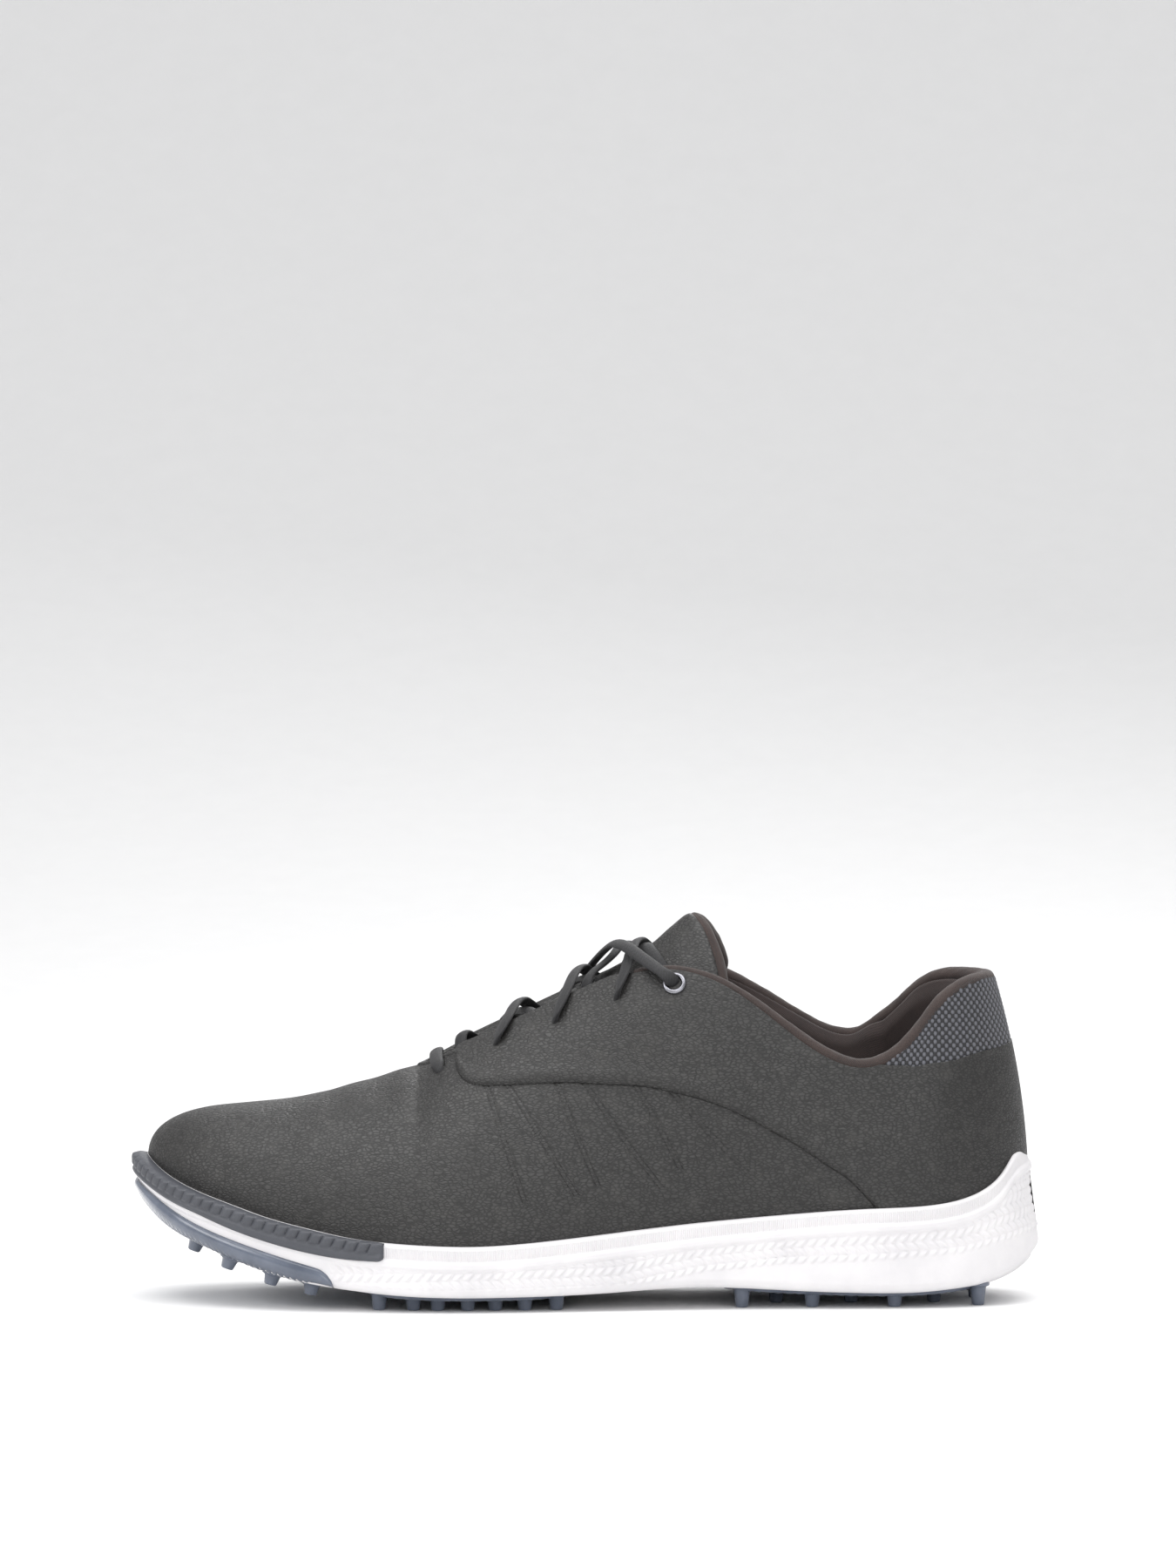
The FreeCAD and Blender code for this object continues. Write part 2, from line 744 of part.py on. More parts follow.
def build_shank():
    """The stiffening plate in the footbed at the waist, and the pocket that it lies in."""
    length = size("shank_length")
    width = size("shank_width")
    centre = 18.0 * SX
    slabs = []
    for label, spare in (("shank_plan", 0.0), ("shank_pocket_plan", 0.15)):
        radius = width / 2 + spare
        reach = length / 2 - width / 2
        left = Vector(centre - reach, middle(centre), 0)
        right = Vector(centre + reach, middle(centre), 0)
        up = Vector(0, radius, 0)
        nose = Vector(radius, 0, 0)
        edges = [Part.LineSegment(left + up, right + up).toShape(),
                 Part.Arc(right + up, right + nose, right - up).toShape(),
                 Part.LineSegment(right - up, left - up).toShape(),
                 Part.Arc(left - up, left - nose, left + up).toShape()]
        face = Part.Face(Part.Wire(edges))
        slabs.append(extrusion(label, face, UP, "sizes.tongue_height"))
    depth = size("shank_thickness")
    gap = size("layer_gap") / 2
    plate_band = band("shank_band", shifted(FOOTBED, -depth - gap), shifted(FOOTBED, -gap))
    pocket_band = band("shank_pocket_band", shifted(FOOTBED, -depth - 2 * gap), shifted(FOOTBED, 1.0))
    name_node(common("shank_body", slabs[0], plate_band), "midfoot_shank")
    return common("shank_pocket", slabs[1], pocket_band)


# The nubs' places on each pod, (x, share of the half width from the middle line).
TOE_NUBS = [(-129.6, -0.52), (-129.6, 0.42), (-118, -0.8), (-118, -0.1), (-118, 0.72), (-103.8, -0.8),
            (-103.8, -0.27), (-103.8, 0.27), (-103.8, 0.8), (-90.8, -0.8), (-90.8, -0.27), (-90.8, 0.27),
            (-90.8, 0.8)]
FOREFOOT_ROWS = [(-68.7, 4), (-57.4, 3), (-49.4, 4), (-39.5, 3), (-30.5, 4), (-20.8, 3), (-10.4, 4)]
HEEL_ROWS = [(50.8, 3), (62.4, 2), (74, 3), (87.2, 2), (101.2, 3), (114.8, 2), (129.0, 3)]
NUB_SPREAD = 0.76


def row_places(rows):
    """Spread each row's nubs evenly across the sole."""
    places = []
    for x, count in rows:
        for i in range(count):
            full = NUB_SPREAD if count > 2 else NUB_SPREAD * 0.5
            places.append((x, full * (2 * i / (count - 1) - 1)))
    return places


def nub(label, x, share, top):
    """One cone nub with its flat tip down, from its tip up into the plate."""
    station = turn(x * SX)
    low = outline(LATERAL, station).y
    high = outline(MEDIAL, station).y
    y = (low + high) / 2 + share * (high - low) / 2
    obj = doc.addObject("Part::Cone", label)
    obj.setExpression("Radius1", "sizes.nub_tip_radius")
    obj.setExpression("Radius2", "sizes.nub_base_radius")
    place = x * SX
    if top is None:
        obj.Height = SOLE_BOTTOM(place) - size("plate_thickness") * 0.7
        obj.Placement = Placement(Vector(place, y, 0), Rotation())
    else:
        obj.setExpression("Height", "sizes.toe_nub_height + 1.5")
        slope = math.degrees(math.atan((SOLE_BOTTOM(place + 3) - SOLE_BOTTOM(place - 3)) / 6))
        tilt = Rotation(Vector(0, 1, 0), -slope)
        surface = Vector(place, y, SOLE_BOTTOM(place))
        obj.Placement = Placement(surface - tilt.multVec(UP) * size("toe_nub_height"), tilt)
    return obj


def build_pods(toe_plate):
    """The three rubber pods, each a plate with its nubs."""
    tips = [nub("toe_nub_%d" % i, x, share, True) for i, (x, share) in enumerate(TOE_NUBS)]
    name_node(fuse("toe_pod", [toe_plate] + tips), "outsole_toe_pod")
    under_sole = shifted(SOLE_BOTTOM, -size("plate_thickness"))
    for label, rows, start, end in (
            ("forefoot", FOREFOOT_ROWS, -77.0, -3.5),
            ("heel", HEEL_ROWS, 43.5, 136.5)):
        plate = common(label + "_plate", plan(label + "_plan", size("plate_margin")),
                       band(label + "_band", under_sole, SOLE_BOTTOM),
                       window(label + "_window", start * SX, end * SX))
        tips = [nub("%s_nub_%d" % (label, i), x, share, None)
                for i, (x, share) in enumerate(row_places(rows))]
        name_node(fuse(label + "_pod", [plate] + tips), "outsole_%s_pod" % label)


# ---------------------------------------------------------------- board and insole

def build_bed_layers():
    """The strobel board, and the loose insole's foam and cloth on it."""
    deepest = (size("lining_depth") + size("lining_thickness")
               + max(size("toe_puff_thickness"), size("counter_thickness")))
    board_inset = size("feather_inset") + deepest + size("layer_gap")
    insole_inset = board_inset + size("insole_clearance")
    level = size("layer_gap")
    pieces = [("strobel_board", board_inset, size("board_thickness")),
              ("insole_foam", insole_inset, size("insole_thickness")),
              ("insole_cover", insole_inset, size("insole_cloth"))]
    for label, inset, thickness in pieces:
        slab = band(label + "_band", shifted(FOOTBED, level), shifted(FOOTBED, level + thickness))
        name_node(common(label + "_body", plan(label + "_plan", inset), slab), label)
        level += thickness + (0.3 if label == "strobel_board" else 0.0)


# ---------------------------------------------------------------- eyelets

# The eyelets' places, (x, z) of the drawn side view. The first pair is in the vamp.
EYELETS = [(-48.4, 75.5), (-29.6, 84.0), (-10.2, 91.6), (10.2, 99.8), (29.0, 105.0)]
TOP_EYELET = len(EYELETS) - 1


class Eyelet:
    """One lace hole: its centre on the form and the directions about it."""

    def __init__(self, side, index):
        self.side = side
        self.index = index
        x, z = EYELETS[index]
        self.station, self.rise = locate(side, x, z)
        self.centre = form(side, self.station, self.rise)
        self.out = normal(side, self.station, self.rise)
        self.skin = 0.0 if index == 0 else size("leather_thickness") + size("overlay_gap")

    def at(self, height):
        """A point on the hole's axis, at a height over the form."""
        return self.centre + self.out * height

    def placement(self, height):
        """The hole's frame, +Z outward, at a height over the form."""
        return Placement(self.at(height), Rotation(UP, self.out))


eyelets = {(side, index): Eyelet(side, index) for side in SIDES for index in range(len(EYELETS))}
BORE_RADIUS = size("lace_diameter") / 2 + size("lace_clearance")
BARREL_RADIUS = BORE_RADIUS + size("eyelet_wall")
BARREL_DEPTH = size("lining_depth") + size("lining_thickness")
HOLE_GAP = 0.05


def drilled(shape, side):
    """A panel with the lace holes of one side through it."""
    reach = 6.0
    tools = []
    for index in range(len(EYELETS)):
        hole = Part.makeCylinder(BARREL_RADIUS + HOLE_GAP, 2 * reach)
        hole.Placement = eyelets[side, index].placement(-reach)
        tools.append(hole)
    return shape.cut(Part.makeCompound(tools))


def eyelet_body():
    """A flanged eyelet turned about Z, with its flange's underside at z 0."""
    body = doc.addObject("PartDesign::Body", "eyelet_pattern")
    sketch = body.newObject("Sketcher::SketchObject", "eyelet_profile")
    plane = [part for part in body.Origin.OriginFeatures if part.Role == "XZ_Plane"][0]
    sketch.AttachmentSupport = [(plane, "")]
    sketch.MapMode = "FlatFace"
    bore = BORE_RADIUS
    barrel = BARREL_RADIUS
    flange = size("eyelet_flange_radius")
    top = size("flange_thickness")
    corners = [(bore, -1.0), (barrel, -1.0), (barrel, 0.0), (flange, 0.0), (flange, top), (bore, top)]
    for i, corner in enumerate(corners):
        ahead = corners[(i + 1) % len(corners)]
        sketch.addGeometry(Part.LineSegment(Vector(*corner, 0), Vector(*ahead, 0)))
    for i in range(len(corners)):
        sketch.addConstraint(Sketcher.Constraint("Coincident", i, 2, (i + 1) % len(corners), 1))
    for line in (0, 2, 4):
        sketch.addConstraint(Sketcher.Constraint("Horizontal", line))
    for line in (1, 3, 5):
        sketch.addConstraint(Sketcher.Constraint("Vertical", line))
    lengths = [("DistanceX", -1, 1, 0, 1, bore, "sizes.lace_diameter / 2 + sizes.lace_clearance"),
               ("DistanceX", 0, 1, 0, 2, barrel - bore, "sizes.eyelet_wall"),
               ("DistanceY", 1, 1, 1, 2, 1.0, None),
               ("DistanceX", -1, 1, 3, 1, flange, "sizes.eyelet_flange_radius"),
               ("DistanceY", 3, 1, 3, 2, top, "sizes.flange_thickness"),
               ("DistanceY", 1, 2, -1, 1, 0.0, None)]
    for kind, first, first_end, second, second_end, value, driven_by in lengths:
        place = sketch.addConstraint(
            Sketcher.Constraint(kind, first, first_end, second, second_end, value))
        if driven_by:
            sketch.setExpression("Constraints[%d]" % place, driven_by)
    turned = body.newObject("PartDesign::Revolution", "eyelet_turned")
    turned.Profile = sketch
    turned.ReferenceAxis = (sketch, ["V_Axis"])
    turned.Angle = 360
    body.Tip = turned
    doc.recompute()
    return body


def build_eyelets():
    """The eight small eyelets, and the two top rings on their stitched washers."""
    pattern = eyelet_body().Shape
    small = []
    rings = []
    washers = []
    for (side, index), eyelet in eyelets.items():
        if index == TOP_EYELET:
            base = eyelet.skin + size("washer_thickness")
            washer = Part.makeCylinder(size("washer_radius"), size("washer_thickness"))
            washer = washer.cut(Part.makeCylinder(BARREL_RADIUS + HOLE_GAP, size("washer_thickness")))
            washer.Placement = eyelet.placement(eyelet.skin)
            washers.append(washer)
            ring = Part.makeTorus(size("ring_radius"), size("ring_wire_radius"))
            ring.Placement = eyelet.placement(base + size("ring_wire_radius"))
            rings.append(ring)
        else:
            flanged = pattern.copy()
            flanged.Placement = eyelet.placement(eyelet.skin + 0.15)
            small.append(flanged)
    name_node(feature("small_eyelet_group", Part.makeCompound(small)), "small_eyelets")
    name_node(feature("top_ring_pair", Part.makeCompound(rings)), "top_eyelet_rings")
    name_node(feature("top_washer_pair", Part.makeCompound(washers)), "top_eyelet_washers")


# ---------------------------------------------------------------- the upper

def collar_top(side):
    """The rise at which panels stop under the collar's binding."""
    def rise(station):
        under_binding = blend(COLLAR_START - 0.06, COLLAR_START - 0.01, station)
        down = 0.3 + under_binding * (size("binding_height") + 0.4)
        down *= blend(THROAT, THROAT + 0.05, station)
        return drop(side, station, down)
    return rise


def tab_low(side):
    """The rise of the heel tab's lower edge, which starts at the collar."""
    start = (TAB_START, collar_top(side)(TAB_START))
    return monotone([start] + tab_edge_points + [(math.pi, tab_edge_points[-1][1])])


def below(curve, spare):
    """A rise curve moved down by a spare."""
    return lambda station: curve(station) - spare


def build_vamp():
    """The vamp with its wings under the quarters, and its lining and toe puff."""
    patches = []
    for side in SIDES:
        patches.append(Patch(side, 0.0, THROAT, constant(0.0), constant(1.0), stations=18))
        patches.append(Patch(side, THROAT, VAMP_FOOT, constant(0.0), vamp_rear, stations=24))
    vamp = layer(patches, constant(0.0), constant(size("leather_thickness")))
    for side in SIDES:
        vamp = drilled(vamp, side)
    name_node(feature("vamp_panel", vamp), "vamp")

    end = station_at(-104 * SX)
    patches = [Patch(side, 0.0, end, constant(0.06), constant(1.0), stations=10) for side in SIDES]
    start = size("leather_thickness") + size("layer_gap")
    puff = layer(patches, constant(start), constant(start + size("toe_puff_thickness")))
    name_node(feature("toe_puff_shell", puff), "toe_puff")

    patches = []
    split = station_at(-38 * SX)
    for side in SIDES:
        patches.append(Patch(side, 0.0, THROAT, constant(0.0), constant(1.0), stations=18))
        patches.append(Patch(side, THROAT, split, constant(0.0), collar_top(side), stations=6))
    inner = layer(patches, lining_depth, lining_back)
    for side in SIDES:
        inner = drilled(inner, side)
    name_node(feature("vamp_lining_sheet", inner), "vamp_lining")
    return split


def lining_back(side, station, rise):
    """The lining's inner face."""
    return lining_depth(side, station, rise) + size("lining_thickness")


def build_quarters(split):
    """The quarters, heel tab, linings, stays, padding and counter."""
    proud = -(size("leather_thickness") + size("overlay_gap"))
    gap = size("layer_gap")
    rear_start = split + 0.004
    lining_patches = []
    tab_patches = []
    counter_patches = []
    foam_patches = []
    for side in SIDES:
        word = "lateral" if side == LATERAL else "medial"
        top = collar_top(side)

        patches = [
            Patch(side, QUARTER_START, TAB_START, quarter_low, top, stations=40, crowd=1.5),
            Patch(side, TAB_START, math.pi, quarter_low, tab_low(side), stations=16)]
        panel = drilled(layer(patches, constant(proud), constant(-size("overlay_gap"))), side)
        name_node(feature("quarter_%s_panel" % word, panel), "quarter_" + word)

        first = station_at(-11 * SX)
        last = station_at(37 * SX)
        strip = Patch(side, first, last, lambda s, side=side: drop(side, s, 17.0),
                      below(top, SEAM_RISE), stations=10, rises=4)
        stay = layer([strip], constant(gap / 2), constant(gap / 2 + size("stay_thickness")))
        name_node(feature("eyestay_%s_strip" % word, drilled(stay, side)), "eyestay_" + word)

        lining_patches.append(Patch(side, rear_start, math.pi, constant(0.0), top, stations=34, rises=12))
        tab_patches.append(Patch(side, TAB_START + 0.04, math.pi, below(tab_low(side), -SEAM_RISE), top,
                                 stations=14, rises=5))
        counter_patches.append(Patch(side, station_at(62 * SX), math.pi, constant(0.02), constant(0.46),
                                     stations=16, rises=5))
        foam_patches.append(Patch(side, station_at(48 * SX), math.pi, constant(0.56),
                                  below(top, SEAM_RISE), stations=18, rises=6))
    rear = layer(lining_patches, lining_depth, lining_back)
    for side in SIDES:
        rear = drilled(rear, side)
    name_node(feature("quarter_lining_sheet", rear), "quarter_lining")
    tab = layer(tab_patches, constant(proud * 0.9), constant(-size("overlay_gap")))
    name_node(feature("heel_tab_panel", tab), "heel_tab")
    deep = size("leather_thickness") + gap
    counter = layer(counter_patches, constant(deep), constant(deep + size("counter_thickness")))
    name_node(feature("counter_shell", counter), "heel_counter")
    foam = layer(foam_patches, foam_front, lambda *place: lining_depth(*place) - gap)
    name_node(feature("collar_foam_pad", foam), "collar_foam")


FOAM_RELIEF = 0.1


def foam_front(side, station, rise):
    """The padding's outer face, behind the vamp's wings and the quarter."""
    wing = vamp_rear(station) if station < VAMP_FOOT else 0.0
    clear_of_wing = blend(wing + 0.01, wing + 0.07, rise)
    return size("layer_gap") + FOAM_RELIEF + (1 - clear_of_wing) * size("leather_thickness")


def build_binding():
    """The bound edge of the collar, one roll from throat to throat round the heel."""
    stations = [COLLAR_START + (math.pi - COLLAR_START) * i / 26 for i in range(27)]
    route = [(LATERAL, station) for station in stations]
    route += [(MEDIAL, station) for station in reversed(stations[:-1])]
    centres = []
    across = []
    upward = []
    widths = []
    heights = []
    for side, station in route:
        out = normal(side, station, 1.0)
        rise = form(side, station, 1.0) - form(side, station, 0.97)
        rise.normalize()
        edge = top_edge(side, station)
        low_collar = 1 - min(abs(edge.x - 86 * SX) / (40 * SX), 1.0)
        half = size("binding_height") / 2
        centres.append(edge - out * ((size("lining_depth") - size("overlay_gap")) / 2) - rise * half)
        across.append(out)
        upward.append(rise)
        widths.append(size("binding_width") / 2 + 0.35 * low_collar)
        heights.append(half)
    name_node(feature("collar_roll", roll(centres, across, upward, widths, heights)), "collar_binding")


# ---------------------------------------------------------------- the tongue

# The tongue's rows from its stitched front to its top: the middle's x and z, then the place
# along the form's top edge where its flanks lie, how far they stand above that edge and how
# far they reach down inside it.
TONGUE_ROWS = [
    (-60.0, 69.6, -60.0, 0.0, 4.0),
    (-52.0, 73.8, -52.0, 0.0, 4.0),
    (-42.0, 80.2, -42.5, 0.0, 6.0),
    (-28.0, 88.6, -28.0, 0.0, 11.0),
    (-12.0, 97.6, -12.0, 0.0, 12.0),
    (4.0, 106.6, 4.0, 0.0, 12.0),
    (16.0, 113.2, 18.0, 0.0, 12.0),
    (26.0, 120.4, 31.0, 1.0, 12.0),
    (34.4, 127.6, 42.5, 4.0, 12.0)]


def tongue_rows(sink):
    """The tongue's cross rows, sunk under its face by a depth."""
    depth = size("lining_depth") + size("lining_thickness") + size("lace_diameter")
    depth += size("tongue_clearance")
    rows = []
    for x, z, flank, lift, reach in TONGUE_ROWS:
        station = station_at(flank * SX)
        centre_row = []
        for side in SIDES:
            hip = under(side, station, drop(side, station, 0.5), depth + sink)
            wing = under(side, station, drop(side, station, reach), depth + sink)
            raised = UP * (lift * SZ)
            centre_row.append([wing + raised * 0.4, (wing + hip) * 0.5 + raised * 0.7, hip + raised])
        crown = Vector(x * SX, middle(x * SX), z * SZ - sink * 1.15)
        lateral, medial = centre_row
        between = [hip[2] * 0.45 + crown * 0.55 + UP * (0.24 * (crown.z - hip[2].z)) for hip in centre_row]
        rows.append(lateral + [between[0], crown, between[1]] + medial[::-1])
    return rows


def sheet_between(top_rows, bottom_rows):
    """A closed solid between two surfaces through rows of points."""
    surfaces = [smooth_surface(rows) for rows in (top_rows, bottom_rows)]
    faces = [surface.toShape() for surface in surfaces]
    for upper, lower in zip(rims(surfaces[0]), rims(surfaces[1])):
        faces.append(Part.makeRuledSurface(upper, lower))
    return closed_solid(faces)


def build_tongue():
    """The tongue's face, padding and lining, bound along its top."""
    cloth = size("tongue_cloth")
    padding = size("tongue_padding")
    gap = 0.05
    face_back = cloth
    foam_front_depth = face_back + gap
    foam_back = foam_front_depth + padding
    lining_front = foam_back + gap
    lining_rear = lining_front + cloth
    name_node(feature("tongue_face_sheet", sheet_between(tongue_rows(0.0), tongue_rows(face_back))),
              "tongue_face")
    name_node(feature("tongue_foam_pad",
                      sheet_between(tongue_rows(foam_front_depth), tongue_rows(foam_back))), "tongue_foam")
    name_node(feature("tongue_lining_sheet",
                      sheet_between(tongue_rows(lining_front), tongue_rows(lining_rear))), "tongue_lining")
    build_tongue_binding(lining_rear)


def build_tongue_binding(thickness):
    """The roll that closes the tongue's top edge."""
    upper = tongue_rows(0.0)
    lower = tongue_rows(thickness)
    radius = size("tongue_binding_radius")
    centres = []
    across = []
    upward = []
    for i, point in enumerate(upper[-1]):
        through = point - lower[-1][i]
        through.normalize()
        along = upper[-1][min(i + 1, len(upper[-1]) - 1)] - upper[-1][max(i - 1, 0)]
        ahead = along.cross(through)
        ahead.normalize()
        if ahead.dot(point - upper[-2][i]) < 0:
            ahead = ahead * -1
        centres.append((point + lower[-1][i]) * 0.5 + ahead * (radius + 0.1))
        across.append(through)
        upward.append(ahead)
    half_width = [thickness / 2 + 0.2] * len(centres)
    half_height = [radius] * len(centres)
    name_node(feature("tongue_roll", roll(centres, across, upward, half_width, half_height)),
              "tongue_binding")


# ---------------------------------------------------------------- the lace

LACE_RADIUS = size("lace_diameter") / 2
LACE_GAP = 0.35
ON_TONGUE = LACE_RADIUS + LACE_GAP
INSIDE = BARREL_DEPTH + LACE_RADIUS + 1.3 * LACE_GAP
STACK = size("lace_diameter") + 6 * LACE_GAP
TUCK = 0.35
CREST = 1.1
MOUTH_SHARE = 0.3
AGLET_GAP = 0.03


def edge_place(side, x, height):
    """A place over (or, below 0, under) the throat edge at x."""
    station = station_at(x * SX)
    return under(side, station, drop(side, station, 1.0), -height)


class TongueSurface:
    """The tongue's face as a surface to lay the lace on."""

    def __init__(self):
        self.surface = smooth_surface(tongue_rows(0.0))

    def over(self, x, across, height):
        """A point over the face: x, the share of its width from the lateral wing, and a height."""
        low = 0.0
        high = 1.0
        for _ in range(30):
            mid = (low + high) / 2
            if self.surface.value(mid, across).x < x * SX:
                low = mid
            else:
                high = mid
        out = self.surface.normal(low, across)
        if out.z < 0:
            out = out * -1
        return self.surface.value(low, across) + out * height


def lace_heights(index):
    """How high the lace lies over the form at an eyelet's mouth."""
    height = eyelets[LATERAL, index].skin + size("flange_thickness") + 0.15 + ON_TONGUE
    if index == TOP_EYELET:
        height = eyelets[LATERAL, index].skin + size("washer_thickness") + 2 * size("ring_wire_radius")
        height += ON_TONGUE + 0.4
    return height


def half_route(side, tongue, upper):
    """The lace from the bar's end at one first eyelet to its tucked tip."""
    over_edge = size("leather_thickness") + size("overlay_gap") + ON_TONGUE + CREST
    on_tongue = ON_TONGUE + CREST
    own = side
    points = [eyelets[own, 0].at(lace_heights(0)), eyelets[own, 0].at(-INSIDE)]
    for index in range(TOP_EYELET):
        start = EYELETS[index][0]
        step = EYELETS[index + 1][0] - start
        to_far_side = -own
        if index == 0:
            points.append(edge_place(own, start + 0.25 * step, -INSIDE))
            points.append(tongue.over(start + 0.40 * step, 0.5 + own * 0.12, on_tongue))
        else:
            points.append(edge_place(own, start + 0.22 * step, over_edge))
        raised = STACK if (index % 2 == 0) == upper else 0.0
        points.append(tongue.over(start + 0.52 * step, 0.5, on_tongue + raised))
        landing = 0.5 + to_far_side * 0.14
        points.append(tongue.over(start + 0.66 * step, landing, on_tongue + 0.45 * raised))
        points.append(edge_place(to_far_side, start + 0.80 * step, -INSIDE - TUCK))
        points.append(eyelets[to_far_side, index + 1].at(-INSIDE))
        points.append(eyelets[to_far_side, index + 1].at(lace_heights(index + 1)))
        own = to_far_side
    far = -own
    raised = STACK if upper else 0.0
    points.append(edge_place(own, 21.5, over_edge + 2.0))
    points.append(tongue.over(16.0, 0.5 + own * 0.10, on_tongue + STACK + 3.0 + 0.5 * raised))
    points.append(tongue.over(10.0, 0.5, on_tongue + 1.2 + raised))
    points.append(tongue.over(1.8, 0.5 + far * 0.17, on_tongue + STACK + 0.9))
    points.append(edge_place(far, -0.4, -INSIDE - 3 * TUCK))
    station = station_at(-1.0 * SX)
    points.append(under(far, station, drop(far, station, 13.0), INSIDE + 0.1))
    station = station_at(-2.5 * SX)
    points.append(under(far, station, drop(far, station, 27.0), INSIDE + 0.6))
    return points


def rounded_path(points, mouths):
    """Straight runs joined by tangent arcs, tighter at the eyelets' mouths, and the arcs' radii."""
    edges = []
    radii = []
    here = points[0]
    for i in range(1, len(points) - 1):
        back = points[i - 1] - points[i]
        ahead = points[i + 1] - points[i]
        shorter = min(back.Length, ahead.Length)
        turn_angle = math.pi - back.getAngle(ahead)
        mouth = any((points[i] - place).Length < 1e-6 for place in mouths)
        reach = (MOUTH_SHARE if mouth else 0.45) * shorter
        radii.append(reach / math.tan(turn_angle / 2))
        back.normalize()
        ahead.normalize()
        start = points[i] + back * reach
        end = points[i] + ahead * reach
        inward = back + ahead
        inward.normalize()
        middle_point = points[i] + inward * (math.hypot(radii[-1], reach) - radii[-1])
        edges.append(Part.LineSegment(here, start).toShape())
        edges.append(Part.Arc(start, middle_point, end).toShape())
        here = end
    edges.append(Part.LineSegment(here, points[-1]).toShape())
    return Part.Wire(edges), radii


def build_lace():
    """The whole lace, threaded through its ten eyelets, and the aglets on its tips."""
    tongue = TongueSurface()
    left = half_route(LATERAL, tongue, True)
    right = half_route(MEDIAL, tongue, False)
    first = EYELETS[0][0]
    bar = [edge_place(side, first - 0.6, ON_TONGUE + CREST) for side in SIDES]
    crest = (bar[0] + bar[1]) * 0.5 + UP * 1.2
    route = left[::-1] + [bar[0], crest, bar[1]] + right
    mouths = [hole.at(-INSIDE) for hole in eyelets.values()]
    mouths += [hole.at(lace_heights(index)) for (side, index), hole in eyelets.items()]
    path, radii = rounded_path(route, mouths)
    section = Part.Circle(route[0], route[1] - route[0], LACE_RADIUS).toShape()
    lace = path.makePipeShell([Part.Wire([section])], True, False)
    expected = math.pi * LACE_RADIUS ** 2 * path.Length
    print("lace length %.1f mm, volume %.1f of %.1f mm3" % (path.Length, lace.Volume, expected))
    print("lace arc radii, mm: " + " ".join("%.1f" % radius for radius in radii))
    name_node(feature("lace_cord", lace), "lace")
    sleeves = []
    for tip, before in ((route[0], route[1]), (route[-1], route[-2])):
        along = before - tip
        along.normalize()
        outer = Part.makeCylinder(LACE_RADIUS + size("aglet_wall"), size("aglet_length"), tip, along)
        inner = Part.makeCylinder(LACE_RADIUS + AGLET_GAP, size("aglet_length"), tip, along)
        sleeves.append(outer.cut(inner))
    name_node(feature("aglet_pair", Part.makeCompound(sleeves)), "aglets")
    return route


# ---------------------------------------------------------------- finish

def check_objects():
    """Stop at a failed object or an unsound shape."""
    for obj in doc.Objects:
        for state in ("Invalid", "Error"):
            if state in obj.State:
                raise RuntimeError("%s is %s" % (obj.Label, state))
    for obj in nodes:
        if obj.Shape.isNull() or not obj.Shape.isValid():
            raise RuntimeError("unsound shape: %s" % obj.Label)
        if not obj.Shape.Solids:
            raise RuntimeError("no solid in %s" % obj.Label)


def export_nodes():
    """Write each sub-part to its own file."""
    os.makedirs("parts", exist_ok=True)
    for obj in nodes:
        shape = obj.Shape.copy()
        shape.exportStep("parts/%s.step" % obj.Label)
        print("%-22s %9.1f mm3  %d solid(s)" % (obj.Label, shape.Volume, len(shape.Solids)))


build_sole()
build_bed_layers()
vamp_split = build_vamp()
build_quarters(vamp_split)
build_binding()
build_eyelets()
build_tongue()
build_lace()
doc.recompute()
check_objects()
export_nodes()
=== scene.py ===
"""A left golf shoe: a lasted leather upper on a moulded foam sole with urethane pods."""

import logging
import math
from collections.abc import Callable, Sequence
from dataclasses import dataclass, field
from enum import Enum

import bmesh
import bpy
import numpy as np
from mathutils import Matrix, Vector


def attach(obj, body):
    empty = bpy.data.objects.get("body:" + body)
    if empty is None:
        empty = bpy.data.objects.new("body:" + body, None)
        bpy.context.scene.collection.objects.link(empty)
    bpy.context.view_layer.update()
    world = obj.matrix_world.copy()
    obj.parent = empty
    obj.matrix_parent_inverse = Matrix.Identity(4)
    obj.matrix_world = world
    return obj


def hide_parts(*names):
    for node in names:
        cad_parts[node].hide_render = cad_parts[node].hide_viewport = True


LOG = logging.getLogger("golf_shoe")
MM = 0.001
PI = math.pi
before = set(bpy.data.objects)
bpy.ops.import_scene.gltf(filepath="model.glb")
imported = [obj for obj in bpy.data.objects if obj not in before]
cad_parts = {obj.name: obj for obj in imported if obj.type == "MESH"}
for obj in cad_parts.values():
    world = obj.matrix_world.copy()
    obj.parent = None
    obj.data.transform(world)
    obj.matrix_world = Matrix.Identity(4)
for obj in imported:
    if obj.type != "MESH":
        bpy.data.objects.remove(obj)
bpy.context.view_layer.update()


class Side(Enum):
    """A side of the shoe, valued by the sign of its y."""

    LATERAL = -1
    MEDIAL = 1


class Slot(Enum):
    """The record's material slots."""

    TPU = "tpu"
    EVA = "eva"
    GUARD = "guard_rubber"
    INSOLE = "insole_cloth"
    LEATHER = "leather"
    MESH = "mesh"
    LINING = "lining"
    BINDING = "binding"
    GUNMETAL = "gunmetal"
    LACE = "lace_cord"


class Body(Enum):
    """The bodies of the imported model."""

    SHOE = "shoe"
    TONGUE = "tongue"
    INSOLE = "insole"


# ---------------------------------------------------------------- curves through points


